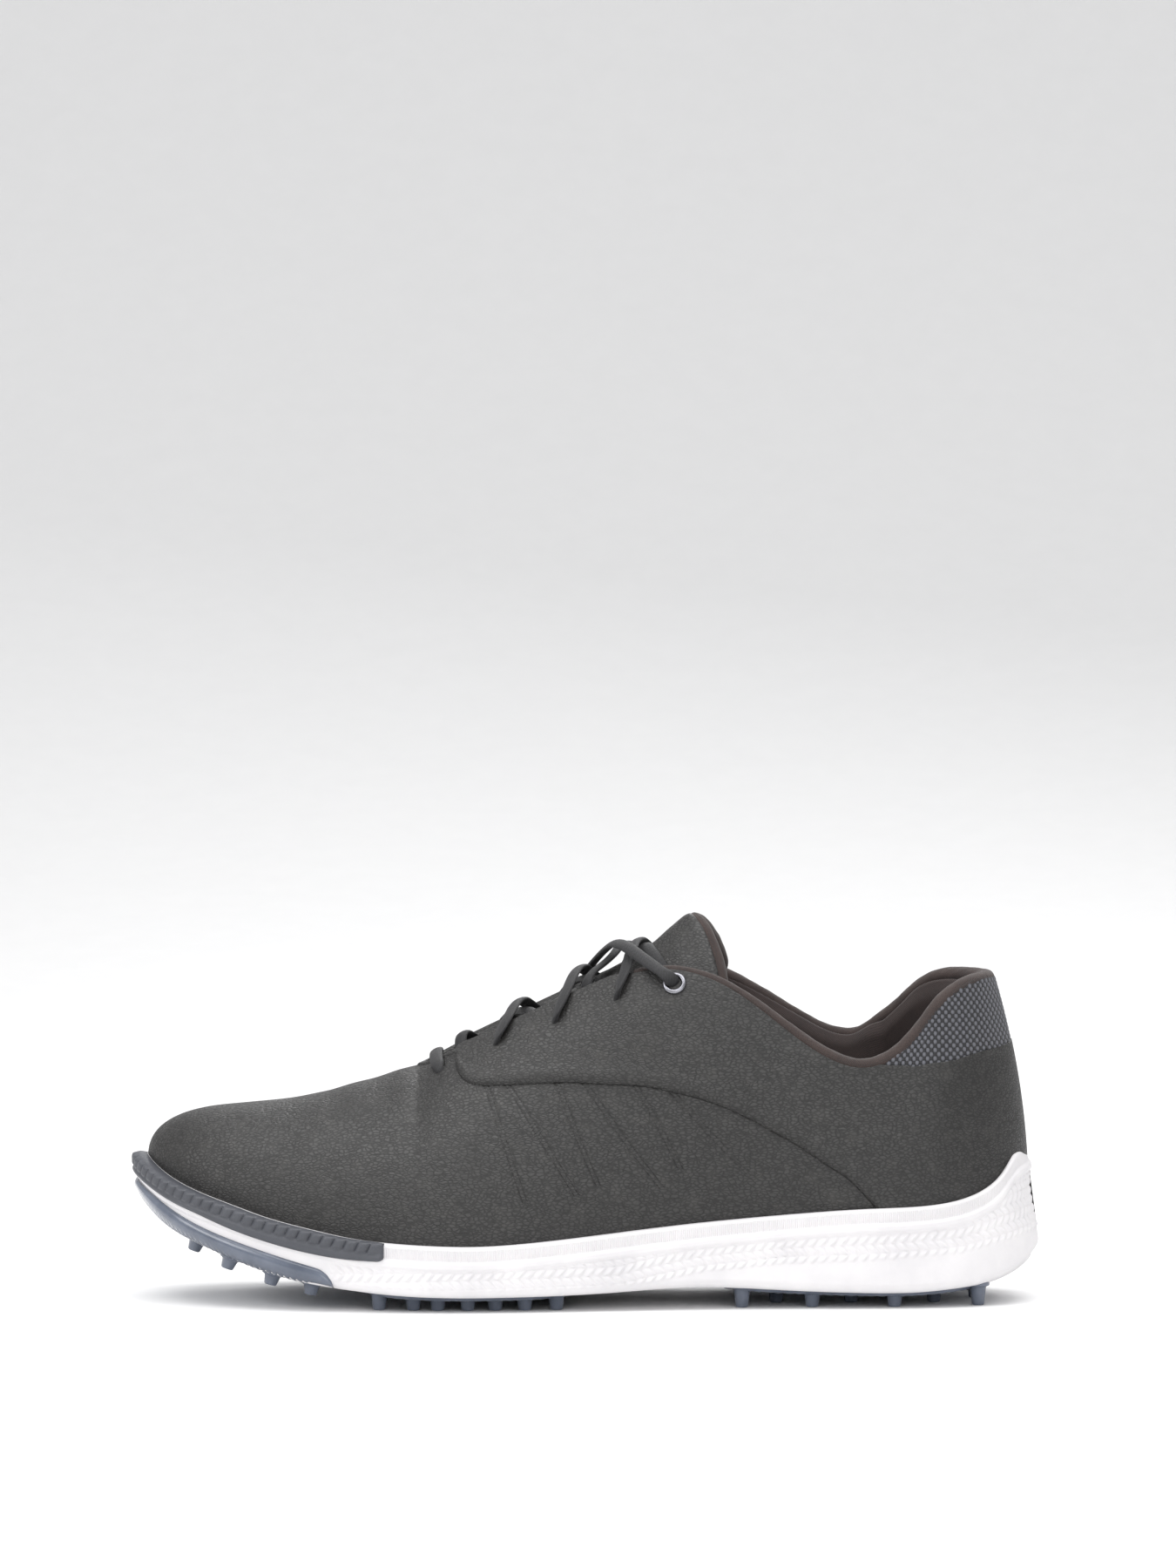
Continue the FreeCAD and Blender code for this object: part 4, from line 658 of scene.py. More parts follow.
@dataclass(frozen=True)
class PebbledLeather(Finish):
    """Milled full-grain leather, drum tumbled so that its grain creases into fine pebbles."""

    # The leather is dyed nearly black; painted shade darkens the valleys between the pebbles, noise lays paler
    # rubbed patches over it, and the tops of the pebbles catch soft wide highlights.
    valley_shade: str = "#151413"
    crest: str = "#2b2a29"
    rub: str = "#4b4946"
    pebble: float = 1.15
    crease: float = 5.5
    depth: float = 0.00016

    def material(self) -> bpy.types.Material:
        """The finish as a material."""
        material, tree, shader = self.start({"IOR": 1.5, "Coat Weight": 0.06, "Coat Roughness": 0.45})
        place = add(tree, "ShaderNodeTexCoord").outputs["Object"]
        drift = add(tree, "ShaderNodeTexNoise", {"Scale": 1000 / self.crease, "Detail": 3.0, "Roughness": 0.6},
                    {"Vector": place})
        pulled = add(tree, "ShaderNodeVectorMath", {"operation": "MULTIPLY_ADD", 1: (0.0016, 0.0016, 0.0016)},
                     {0: drift.outputs["Color"], 2: place})
        stretched = add(tree, "ShaderNodeMapping", {"Scale": (0.62, 0.8, 1.25), "Rotation": (0.0, 0.35, 0.0)},
                        {"Vector": pulled.outputs[0]})
        cells = add(tree, "ShaderNodeTexVoronoi", {"feature": "DISTANCE_TO_EDGE", "Scale": 1000 / self.pebble},
                    {"Vector": stretched.outputs[0]})
        pebble = ramp(tree, cells.outputs["Distance"], 0.0, 0.28, smooth=True)
        folds = add(tree, "ShaderNodeTexVoronoi", {"feature": "DISTANCE_TO_EDGE", "Scale": 1250 / self.crease},
                    {"Vector": stretched.outputs[0]})
        fold = ramp(tree, folds.outputs["Distance"], 0.0, 0.12, smooth=True)
        swell = add(tree, "ShaderNodeTexNoise", {"Scale": 95.0, "Detail": 2.0}, {"Vector": place})
        fine = add(tree, "ShaderNodeTexNoise", {"Scale": 2600.0, "Detail": 2.0}, {"Vector": place})
        patch = ramp(tree, swell.outputs["Fac"], 0.35, 0.65, 0.25, 1.0)
        grain = calc(tree, "MULTIPLY", pebble.outputs[0], patch.outputs[0])
        grain = calc(tree, "MULTIPLY_ADD", fold.outputs[0], 0.55, grain.outputs[0])
        grain = calc(tree, "MULTIPLY_ADD", fine.outputs["Fac"], 0.22, grain.outputs[0])
        groove = add(tree, "ShaderNodeAttribute", {"attribute_name": "tint"})
        grain = calc(tree, "MULTIPLY_ADD", groove.outputs["Fac"], -1.2, grain.outputs[0])
        bump = add(tree, "ShaderNodeBump", {"Strength": 0.75, "Distance": self.depth},
                   {"Height": grain.outputs[0]})
        # Painted shade: the valleys between the pebbles take a darker colour than their crests.
        dye_and_valley_shade = add(tree, "ShaderNodeMix", {"data_type": "RGBA", 6: linear(self.valley_shade), 7: linear(self.crest)},
                  {0: pebble.outputs[0]})
        worn = ramp(tree, drift.outputs["Fac"], 0.52, 0.8, 0.0, 0.24)
        rubbed = add(tree, "ShaderNodeMix", {"data_type": "RGBA", 7: linear(self.rub)},
                     {0: worn.outputs[0], 6: dye_and_valley_shade.outputs[2]})
        # Painted shade: the pressed grooves on the vamp are darkened towards near black.
        groove_shade = add(tree, "ShaderNodeMix", {"data_type": "RGBA", 7: linear("#080808")},
                   {0: groove.outputs["Fac"], 6: rubbed.outputs[2]})
        tree.links.new(groove_shade.outputs[2], shader.inputs["Base Color"])
        rough = ramp(tree, pebble.outputs[0], 0.0, 1.0, 0.60, 0.44)
        tree.links.new(rough.outputs[0], shader.inputs["Roughness"])
        tree.links.new(bump.outputs[0], shader.inputs["Normal"])
        return material


@dataclass(frozen=True)
class Moulded(Finish):
    """A moulded plastic or rubber: foam EVA, matt rubber or glossy urethane."""

    colour: str
    shade: str
    roughness: float
    grit: float
    depth: float
    ior: float = 1.5
    coat: float = 0.0
    subsurface: float = 0.0
    ribs: float = 0.0

    def material(self) -> bpy.types.Material:
        """The finish as a material."""
        settings: dict[str | int, object] = {"IOR": self.ior, "Coat Weight": self.coat, "Coat Roughness": 0.12}
        if self.subsurface:
            settings |= {"Subsurface Weight": self.subsurface, "Subsurface Radius": (0.6, 0.6, 0.7),
                         "Subsurface Scale": 0.002}
        material, tree, shader = self.start(settings)
        place = add(tree, "ShaderNodeTexCoord").outputs["Object"]
        cloudy = add(tree, "ShaderNodeTexNoise", {"Scale": 60.0, "Detail": 4.0, "Roughness": 0.6},
                  {"Vector": place})
        grit = add(tree, "ShaderNodeTexNoise", {"Scale": 1000 / self.grit, "Detail": 3.0}, {"Vector": place})
        shade = ramp(tree, cloudy.outputs["Fac"], 0.3, 0.75)
        colour = add(tree, "ShaderNodeMix", {"data_type": "RGBA", 6: linear(self.colour), 7: linear(self.shade)},
                     {0: shade.outputs[0]})
        tree.links.new(colour.outputs[2], shader.inputs["Base Color"])
        rough = ramp(tree, grit.outputs["Fac"], 0.3, 0.7, self.roughness * 0.86, self.roughness * 1.14)
        tree.links.new(rough.outputs[0], shader.inputs["Roughness"])
        height = grit.outputs["Fac"]
        if self.ribs:
            cloth = add(tree, "ShaderNodeAttribute", {"attribute_name": "cloth"})
            along = add(tree, "ShaderNodeSeparateXYZ", {}, {0: cloth.outputs["Vector"]})
            phase = calc(tree, "MULTIPLY", along.outputs["X"], 2 * PI / (self.ribs * MM))
            wave = calc(tree, "SINE", phase.outputs[0])
            mask = add(tree, "ShaderNodeAttribute", {"attribute_name": "tint"})
            ribbed = calc(tree, "MULTIPLY", wave.outputs[0], mask.outputs["Fac"])
            height = calc(tree, "MULTIPLY_ADD", ribbed.outputs[0], 4.0, height).outputs[0]
        bump = add(tree, "ShaderNodeBump", {"Strength": 0.5, "Distance": self.depth}, {"Height": height})
        tree.links.new(bump.outputs[0], shader.inputs["Normal"])
        return material


@dataclass(frozen=True)
class Knit(Finish):
    """A brushed polyester knit, rolled or padded: fine ribs, a soft nap and stray pale fibres, with a painted
    highlight on the crowns of its loops.
    """

    colour: str
    thread: str
    wale: float
    course: float
    depth: float = 0.00012
    sheen: float = 0.35

    def material(self) -> bpy.types.Material:
        """The finish as a material."""
        material, tree, shader = self.start({"IOR": 1.5, "Sheen Weight": self.sheen, "Sheen Roughness": 0.5,
                                             "Roughness": 0.82})
        place = add(tree, "ShaderNodeTexCoord").outputs["Object"]
        cloth = add(tree, "ShaderNodeAttribute", {"attribute_name": "cloth"})
        nap = add(tree, "ShaderNodeTexNoise", {"Scale": 1500.0, "Detail": 3.0, "Roughness": 0.7},
                  {"Vector": place})
        bent = add(tree, "ShaderNodeVectorMath", {"operation": "MULTIPLY_ADD", 1: (0.0004, 0.0004, 0.0)},
                   {0: nap.outputs["Color"], 2: cloth.outputs["Vector"]})
        axes = add(tree, "ShaderNodeSeparateXYZ", {}, {0: bent.outputs[0]})
        waves = []
        for axis, pitch in (("X", self.wale), ("Y", self.course)):
            phase = calc(tree, "MULTIPLY", axes.outputs[axis], 2 * PI / (pitch * MM))
            waves.append(calc(tree, "SINE", phase.outputs[0]).outputs[0])
        loops = calc(tree, "MULTIPLY", waves[0], waves[1])
        height = calc(tree, "MULTIPLY_ADD", loops.outputs[0], 0.5, nap.outputs["Fac"])
        patchy = add(tree, "ShaderNodeTexNoise", {"Scale": 140.0, "Detail": 3.0}, {"Vector": place})
        height = calc(tree, "MULTIPLY_ADD", patchy.outputs["Fac"], 0.8, height.outputs[0])
        bump = add(tree, "ShaderNodeBump", {"Strength": 0.8, "Distance": self.depth},
                   {"Height": height.outputs[0]})
        # The paler thread colour follows the height: noise gives stray fibres and patches, and the loops' crowns get
        # a painted highlight.
        pale = ramp(tree, height.outputs[0], 0.3, 1.3, 0.0, 0.8)
        colour = add(tree, "ShaderNodeMix", {"data_type": "RGBA", 6: linear(self.colour), 7: linear(self.thread)},
                     {0: pale.outputs[0]})
        tree.links.new(colour.outputs[2], shader.inputs["Base Color"])
        tree.links.new(bump.outputs[0], shader.inputs["Normal"])
        return material


@dataclass(frozen=True)
class Weave(Finish):
    """A woven or braided yarn whose crowns the mesh carries: a painted highlight on the crowns over painted shade in
    the gaps.
    """

    # The gap colour is painted shade, the yarn colour the yarn's own and the crown colour a painted highlight.
    gap: str
    yarn: str
    crown: str
    strand: float
    roughness: float = 0.7
    depth: float = 0.0001

    def material(self) -> bpy.types.Material:
        """The finish as a material."""
        material, tree, shader = self.start({"IOR": 1.5, "Sheen Weight": 0.08, "Sheen Roughness": 0.5,
                                             "Roughness": self.roughness})
        cloth = add(tree, "ShaderNodeAttribute", {"attribute_name": "cloth"})
        crown = add(tree, "ShaderNodeAttribute", {"attribute_name": "tint"})
        place = add(tree, "ShaderNodeTexCoord").outputs["Object"]
        fibre = add(tree, "ShaderNodeTexNoise", {"Scale": 3000.0, "Detail": 2.0}, {"Vector": place})
        axes = add(tree, "ShaderNodeSeparateXYZ", {}, {0: cloth.outputs["Vector"]})
        lean = calc(tree, "ADD", axes.outputs["X"], axes.outputs["Y"])
        phase = calc(tree, "MULTIPLY", lean.outputs[0], 2 * PI / (self.strand * MM))
        strand = calc(tree, "SINE", phase.outputs[0])
        height = calc(tree, "MULTIPLY_ADD", strand.outputs[0], 0.35, fibre.outputs["Fac"])
        bump = add(tree, "ShaderNodeBump", {"Strength": 0.7, "Distance": self.depth},
                   {"Height": height.outputs[0]})
        # Painted shade: the gap colour fills the low places between the yarns; painted highlight: the crown colour
        # lies on their crowns.
        low = ramp(tree, crown.outputs["Fac"], 0.0, 0.5)
        high = ramp(tree, crown.outputs["Fac"], 0.55, 1.0, 0.0, 0.85)
        body = add(tree, "ShaderNodeMix", {"data_type": "RGBA", 6: linear(self.gap), 7: linear(self.yarn)},
                   {0: low.outputs[0]})
        colour = add(tree, "ShaderNodeMix", {"data_type": "RGBA", 7: linear(self.crown)},
                     {0: high.outputs[0], 6: body.outputs[2]})
        tree.links.new(colour.outputs[2], shader.inputs["Base Color"])
        tree.links.new(bump.outputs[0], shader.inputs["Normal"])
        return material


@dataclass(frozen=True)
class Plated(Finish):
    """Plated brass: a thin bright metal skin with the fine rubs of a barrel finish."""

    colour: str
    roughness: float

    def material(self) -> bpy.types.Material:
        """The finish as a material."""
        material, tree, shader = self.start({"Metallic": 1.0, "Base Color": linear(self.colour)})
        place = add(tree, "ShaderNodeTexCoord").outputs["Object"]
        rubs = add(tree, "ShaderNodeTexNoise", {"Scale": 900.0, "Detail": 4.0}, {"Vector": place})
        rough = ramp(tree, rubs.outputs["Fac"], 0.3, 0.7, self.roughness * 0.7, self.roughness * 1.4)
        tree.links.new(rough.outputs[0], shader.inputs["Roughness"])
        bump = add(tree, "ShaderNodeBump", {"Strength": 0.15, "Distance": 0.00005},
                   {"Height": rubs.outputs["Fac"]})
        tree.links.new(bump.outputs[0], shader.inputs["Normal"])
        return material


class Palette:
    """Every finish of the shoe, made once."""

    def __init__(self) -> None:
        """Make the materials."""
        self.leather = PebbledLeather("milled_leather").material()
        self.eva = Moulded("moulded_eva_foam", "#e2e0e1", "#d5d3d5", 0.62, 0.7, 0.00004, ribs=0.66,
                           subsurface=0.08).material()
        self.rubber = Moulded("moulded_rubber", "#4b4d53", "#404248", 0.5, 0.9, 0.00006, ior=1.52).material()
        self.urethane = Moulded("moulded_urethane", "#4d5462", "#6b7280", 0.2, 2.0, 0.00005, ior=1.49, coat=0.5,
                                subsurface=0.1).material()
        # Real knit loops are about 0.4 mm; they are drawn at 0.6 mm so that they show.
        self.binding = Knit("rolled_polyester_knit", "#1c1515", "#43342f", 0.6, 0.75, sheen=0.12).material()
        self.lining = Knit("brushed_polyester_lining", "#191212", "#3b2d2a", 0.7, 0.6, sheen=0.12).material()
        self.insole = Knit("brushed_insole_knit", "#2c2a2c", "#4a474a", 0.8, 0.8).material()
        # The mesh and the lace take painted shade for their gaps and a painted highlight for their crowns.
        self.mesh = Weave("basket_woven_polyester", "#08080a", "#1f1f23", "#6b6c73", 0.34).material()
        self.lace = Weave("braided_polyester_lace", "#060607", "#131316", "#2d2d32", 0.4,
                          roughness=0.62).material()
        self.thread = Weave("bonded_nylon_thread", "#0c0c0d", "#1c1c1e", "#3a3a3c", 0.3).material()
        self.gunmetal = Plated("gunmetal_plated_brass", "#8d8d93", 0.24).material()
        self.enamel = Plated("black_nickel_plated_brass", "#3a3a3e", 0.16).material()
        self.fleece = Moulded("brushed_insole_fleece", "#3a3839", "#2b292a", 0.9, 0.35, 0.0003).material()
        self.foam = Moulded("open_cell_pu_foam", "#6f6f73", "#5b5b60", 0.9, 0.5, 0.0002).material()
        self.board = Moulded("pressed_fibre_board", "#cbbfa8", "#b9ac92", 0.85, 0.4, 0.0001).material()
        self.nylon = Moulded("moulded_nylon", "#26272a", "#1e1f21", 0.42, 0.6, 0.00004).material()
        self.shrink = Moulded("clear_coated_aglet_film", "#1b1b1d", "#242427", 0.3, 0.8, 0.00003,
                               coat=0.4).material()


# ---------------------------------------------------------------- shared shapes


def spaced(side: Side, start: float, end: float, count: int) -> np.ndarray:
    """Stations that lie evenly along the sole's outline."""
    fine = np.linspace(start, end, 4000)
    points = LAST.outline(side, fine)
    length = np.concatenate([[0.0], np.cumsum(np.linalg.norm(np.diff(points, axis=0), axis=1))])
    return np.interp(np.linspace(0, length[-1], count), length, fine)


def run_length(points: np.ndarray) -> np.ndarray:
    """The distance along a line of points, in mm."""
    return np.concatenate([[0.0], np.cumsum(np.linalg.norm(np.diff(points, axis=0), axis=1))])


def lean(points: np.ndarray) -> np.ndarray:
    """Points moved in under the leaning back of the heel cup."""
    moved = points.copy()
    back = np.where(points[..., 2] > 15, HEEL_BACK(np.maximum(points[..., 2], 15.0)), 150.8)
    back = back + 2.0 * blend(38, 48, points[..., 2])
    moved[..., 0] -= (150.8 - back) * np.clip((points[..., 0] - 100) / 50, 0, 1) ** 2
    return moved


def inset_outline(side: Side, station: np.ndarray, inset: np.ndarray) -> np.ndarray:
    """The sole's outline moved in by an inset, level."""
    return LAST.outline(side, station) - LAST.outward(side, station) * np.asarray(inset, float)[..., None]


def centre_line(station: np.ndarray, reach: float) -> np.ndarray:
    """The middle line's points that a sole's section shrinks to."""
    x = TOE_X * np.cos(station) * reach
    return stack(x, middle(x), np.zeros_like(x))


def closed(obj: bpy.types.Object) -> bpy.types.Object:
    """Close any open rim of a mesh with a flat face."""
    mesh = bmesh.new()
    mesh.from_mesh(obj.data)
    rims = [edge for edge in mesh.edges if edge.is_boundary]
    if rims:
        bmesh.ops.holes_fill(mesh, edges=rims, sides=0)
    bmesh.ops.recalc_face_normals(mesh, faces=mesh.faces)
    mesh.to_mesh(obj.data)
    mesh.free()
    return obj


def tube(build: Build, centres: np.ndarray, across: np.ndarray, half_width: np.ndarray, half_height: np.ndarray,
         steps: int = 20, relief: Callable[[np.ndarray, np.ndarray], np.ndarray] | None = None) -> None:
    """Add a flat-oval tube along a line.

    Args:
        build: The mesh that it joins.
        centres: The line's points, in mm.
        across: The direction of the oval's width at each point.
        half_width: Half the oval's width at each point.
        half_height: Half its height at each point.
        steps: The number of steps round it.
        relief: The surface's swell, from the distance along it and the distance round it.
    """
    along = unit(np.gradient(centres, axis=0))
    across = unit(across - along * np.sum(across * along, axis=1, keepdims=True))
    upward = np.cross(along, across)
    angle = np.linspace(0, 2 * PI, steps, endpoint=False)
    length = run_length(centres)
    girth = angle * float(np.mean(half_width + half_height)) / 2
    swell = relief(length[:, None], girth[None, :]) if relief else np.zeros((len(centres), steps))
    ends = np.minimum(length, length[-1] - length) / np.maximum(half_height, 1e-6)
    close = np.sqrt(1 - (1 - np.clip(ends, 0.02, 1)) ** 2)
    wide = (half_width * close)[:, None] + swell * 0.6
    high = (half_height * close)[:, None] + swell
    points = (centres[:, None] + across[:, None] * (np.cos(angle) * wide)[..., None]
              + upward[:, None] * (np.sin(angle) * high)[..., None])
    # The crowns go to the tint; the lace's woven finish paints a highlight on them and shade between them.
    crown = swell / max(float(swell.max()), 1e-9) if relief else np.full_like(swell, 0.6)
    build.grid(points, cloth=stack(length[:, None], girth[None, :] + 0 * length[:, None]), tint=crown,
               wrap_columns=True)


def stitches(build: Build, line: np.ndarray, outward: np.ndarray, pitch: float = 2.3, length: float = 1.6,
             radius: float = 0.28, turned: bool = False) -> None:
    """Add a row of stitches.

    Args:
        build: The mesh that they join.
        line: The points that the row follows, on the surface, in mm.
        outward: The surface's outward direction at each point.
        pitch: The distance from stitch to stitch.
        length: A stitch's length.
        radius: The thread's radius.
        turned: Whether the stitches lie across the row.
    """
    distance = run_length(line)
    for place in np.arange(pitch / 2, distance[-1] - pitch / 3, pitch):
        centre = np.array([np.interp(place, distance, line[:, k]) for k in range(3)])
        ahead = np.array([np.interp(place + 0.3, distance, line[:, k]) for k in range(3)])
        out = unit(np.array([np.interp(place, distance, outward[:, k]) for k in range(3)]))
        along = unit(ahead - centre)
        if turned:
            along = unit(np.cross(along, out))
        share = np.linspace(-1, 1, 7)
        sag = radius * (0.35 - 0.9 * share**2)
        points = centre + along * (share * length / 2)[:, None] + out * sag[:, None]
        size = np.full(len(share), radius)
        tube(build, points, np.tile(np.cross(along, out), (len(share), 1)), size, size, steps=6)


# ---------------------------------------------------------------- the sole


@dataclass
class Sole:
    """The foam midsole with its rim, the rubber toe guard and the urethane pods."""

    palette: Palette
    around: int = 820
    rib_band: tuple[float, float] = (0.9, 4.9)
    relief_top: float = 8.4
    chevron_pitch: float = 3.35
    chevron_row: float = 2.9
    chevron_depth: float = 0.75
    guard_end: float = -67.0
    guard_proud: float = 0.9
    lump_pitch: float = 4.05
    toe_pod_end: float = -84.0
    nub_base: float = 2.75
    nub_tip: float = 2.0
    toe_nubs: tuple[tuple[float, float], ...] = (
        (-129.6, -0.52), (-129.6, 0.42), (-118, -0.8), (-118, -0.1), (-118, 0.72), (-103.8, -0.8),
        (-103.8, -0.27), (-103.8, 0.27), (-103.8, 0.8), (-90.8, -0.8), (-90.8, -0.27), (-90.8, 0.27), (-90.8, 0.8))
    forefoot_rows: tuple[tuple[float, int], ...] = (
        (-68.7, 4), (-57.4, 3), (-49.4, 4), (-39.5, 3), (-30.5, 4), (-20.8, 3), (-10.4, 4))
    heel_rows: tuple[tuple[float, int], ...] = (
        (50.8, 3), (62.4, 2), (74, 3), (87.2, 2), (101.2, 3), (114.8, 2), (129.0, 3))

    def build(self) -> None:
        """Build and dress every piece of the sole."""
        self.midsole()
        self.guard()
        self.toe_pod()
        self.flat_pod("forefoot", -77.0, -3.5, self.forefoot_rows)
        self.flat_pod("heel", 43.5, 136.5, self.heel_rows)

    def wall(self, side: Side, station: np.ndarray, along: np.ndarray) -> tuple[np.ndarray, np.ndarray]:
        """The midsole's outer wall.

        Args:
            side: The side of the shoe.
            station: The stations of its columns.
            along: The distance of each column round the sole, in mm.

        Returns:
            The wall's points from the rim's top edge to the bottom edge, and its rib mask.
        """
        outline = LAST.outline(side, station)
        x = outline[:, 0]
        top, bottom = RIM_TOP(x), SOLE_BOTTOM(x)
        height = top - bottom
        share = np.concatenate([np.linspace(0, 0.04, 6)[:-1], np.linspace(0.04, 0.93, 70)[:-1],
                                np.linspace(0.93, 1, 8)])
        s = share[None, :] * height[:, None]
        left = (1 - share[None, :]) * height[:, None]
        lip = 0.9 * (1 - np.sqrt(1 - (1 - np.clip(s / 1.1, 0, 1)) ** 2))
        band = 0.75 * (1 - blend(self.rib_band[1] - 0.3, self.rib_band[1] + 0.7, s))
        under = 0.7 * blend(7.0, 8.4, s) * (1 - blend(12, 22, s) * 0.6)
        foot = 2.8 * (1 - np.sqrt(1 - (1 - np.clip(left / 3.4, 0, 1)) ** 2))
        inset = lip + band + under + foot
        lower = np.interp(x, [-84, 10, 18.9, 36.3, 65.3, 94.3, 123.3, 149.4],
                          [4.0, 6.2, 8.3, 11.7, 14.6, 15.5, 17.5, 23.3])[:, None]
        z = top[:, None] - s
        row = (z - lower) / self.chevron_row
        zigzag = np.abs((row / 2) % 1 - 0.5) * 2
        phase = (along[:, None] / self.chevron_pitch + 0.75 * zigzag) % 1
        leaf = np.where(phase < 0.72, phase / 0.72, (1 - phase) / 0.28)
        leaf = leaf * np.sin(PI * (row % 1)) ** 0.5
        zone = (blend(self.relief_top - 0.5, self.relief_top + 0.4, s) * blend(0.2, 1.6, z - lower)
                * blend(2.0, 3.4, left) * blend(-86, -82, x)[:, None])
        inset = inset - self.chevron_depth * leaf * zone + 0.12 * zone
        wall = outline[:, None, :] - LAST.outward(side, station)[:, None, :] * inset[..., None]
        wall[..., 2] = z
        ribbed = blend(self.rib_band[0], self.rib_band[0] + 0.4, s) * (1 - blend(self.rib_band[1] - 0.5,
                                                                                self.rib_band[1], s))
        return lean(wall), ribbed * blend(-68, -66, x)[:, None]

    def midsole(self) -> None:
        """The midsole: wall, rim, footbed and bottom in one closed skin."""
        build = Build()
        for side in Side:
            station = spaced(side, 0.0, PI, self.around)
            outline = LAST.outline(side, station)
            along = run_length(outline)
            wall, ribbed = self.wall(side, station, along)
            x = outline[:, 0]
            rim = RIM_TOP(x)
            rise = LAST.rise_at(side, station, rim - 0.4)
            proud = 0.25 + 1.45 * blend(QUARTER_POINTS[-4][0], QUARTER_POINTS[-2][0], station)
            inner = LAST.under(side, station, rise, -proud)
            inner[:, 2] = rim - 0.5
            crest = inner + (wall[:, 0] - inner) * 0.2
            crest[:, 2] = rim
            shoulder = inner + (wall[:, 0] - inner) * 0.85
            shoulder[:, 2] = rim + 0.05
            deep = LAST.under(side, station, rise * 0.35, -proud)
            foot = LAST.under(side, station, 0 * rise, -0.2)
            foot[:, 2] = FOOTBED(foot[:, 0])
            bed = centre_line(station, 0.93)
            bed[:, 2] = FOOTBED(bed[:, 0])
            half_bed = (foot + bed) / 2
            half_bed[:, 2] = FOOTBED(half_bed[:, 0])
            inside = np.stack([bed, half_bed, foot, deep, inner, crest, shoulder], axis=1)
            edge = wall[:, -1]
            core = centre_line(station, 0.95)
            core[:, 2] = SOLE_BOTTOM(core[:, 0]) + 0.2
            under = []
            for share in (0.02, 0.06, 0.14, 0.3, 0.5, 0.75, 1.0):
                ring = edge + (core - edge) * share
                ring[:, 2] = SOLE_BOTTOM(ring[:, 0]) + 0.2 * share
                under.append(ring)
            points = np.concatenate([inside, wall, np.stack(under, axis=1)], axis=1)
            mask = np.zeros(points.shape[:2])
            mask[:, inside.shape[1] : inside.shape[1] + wall.shape[1]] = ribbed
            cloth = stack(along[:, None] + np.zeros(points.shape[:2]), points[..., 2])
            build.grid(points, cloth=cloth, tint=mask, flip=side is Side.MEDIAL)
        dress(closed(build.finish("midsole_shell", sharp=62)), self.palette.eva, Slot.EVA, Body.SHOE, "midsole")

    def guard(self) -> None:
        """The rubber toe guard, with the twisted lumps of its welt along its top."""
        build = Build()
        end = turn(self.guard_end)
        count = 620
        lines = [spaced(Side.LATERAL, 0.0, end, count)[::-1], spaced(Side.MEDIAL, 0.0, end, count)[1:]]
        outline = np.concatenate([LAST.outline(side, line) for side, line in zip(Side, lines)])
        out = np.concatenate([LAST.outward(side, line) for side, line in zip(Side, lines)])
        along = run_length(outline)
        x = outline[:, 0]
        top, bottom = RIM_TOP(x) + 0.5, GUARD_BOTTOM(x)
        near_end = np.minimum(along, along[-1] - along)
        corner = np.sqrt(1 - (1 - np.clip(near_end / 2.4, 0, 1)) ** 2)
        height = top - bottom
        face = np.linspace(0, 1, 52)
        s = face[None, :] * height[:, None]
        z = top[:, None] - 0.3 * (1 - corner[:, None]) - s * (0.72 + 0.28 * corner[:, None])
        left = height[:, None] - s
        round_top = 1.5 * (1 - np.sqrt(1 - (1 - np.clip(s / 1.6, 0, 1)) ** 2))
        round_low = 1.3 * (1 - np.sqrt(1 - (1 - np.clip(left / 1.6, 0, 1)) ** 2))
        mirrored = np.abs(along - along[-1] / 2)[:, None]
        twist = (mirrored / self.lump_pitch + 0.13 * s) % 1
        lump = np.sin(PI * twist) ** 0.55 * (1 - blend(3.2, 4.6, s)) * blend(0.0, 0.7, s)
        ledge = 0.55 * blend(3.6, 5.4, s)
        fade = blend(0.0, 5.0, near_end)[:, None]
        welt = (1.15 * lump - 0.35 * (1 - blend(3.2, 4.6, s))) * fade
        proud = self.guard_proud + ledge - round_top - round_low + welt
        proud = proud * corner[:, None] - 0.6 * (1 - corner[:, None])
        outer = outline[:, None] + out[:, None] * proud[..., None]
        outer[..., 2] = z
        back_top = outline - out * 3.6
        back_top[:, 2] = z[:, 0] - 0.4
        back_low = outline - out * 2.6
        back_low[:, 2] = z[:, -1] + 0.2
        points = np.concatenate([back_top[:, None], outer, back_low[:, None]], axis=1)
        cloth = stack(along[:, None] + 0 * points[..., 2], points[..., 2])
        build.grid(points, cloth=cloth, wrap_columns=True)
        dress(closed(build.finish("toe_guard_strip", sharp=70)), self.palette.rubber, Slot.GUARD, Body.SHOE,
              "toe_guard")

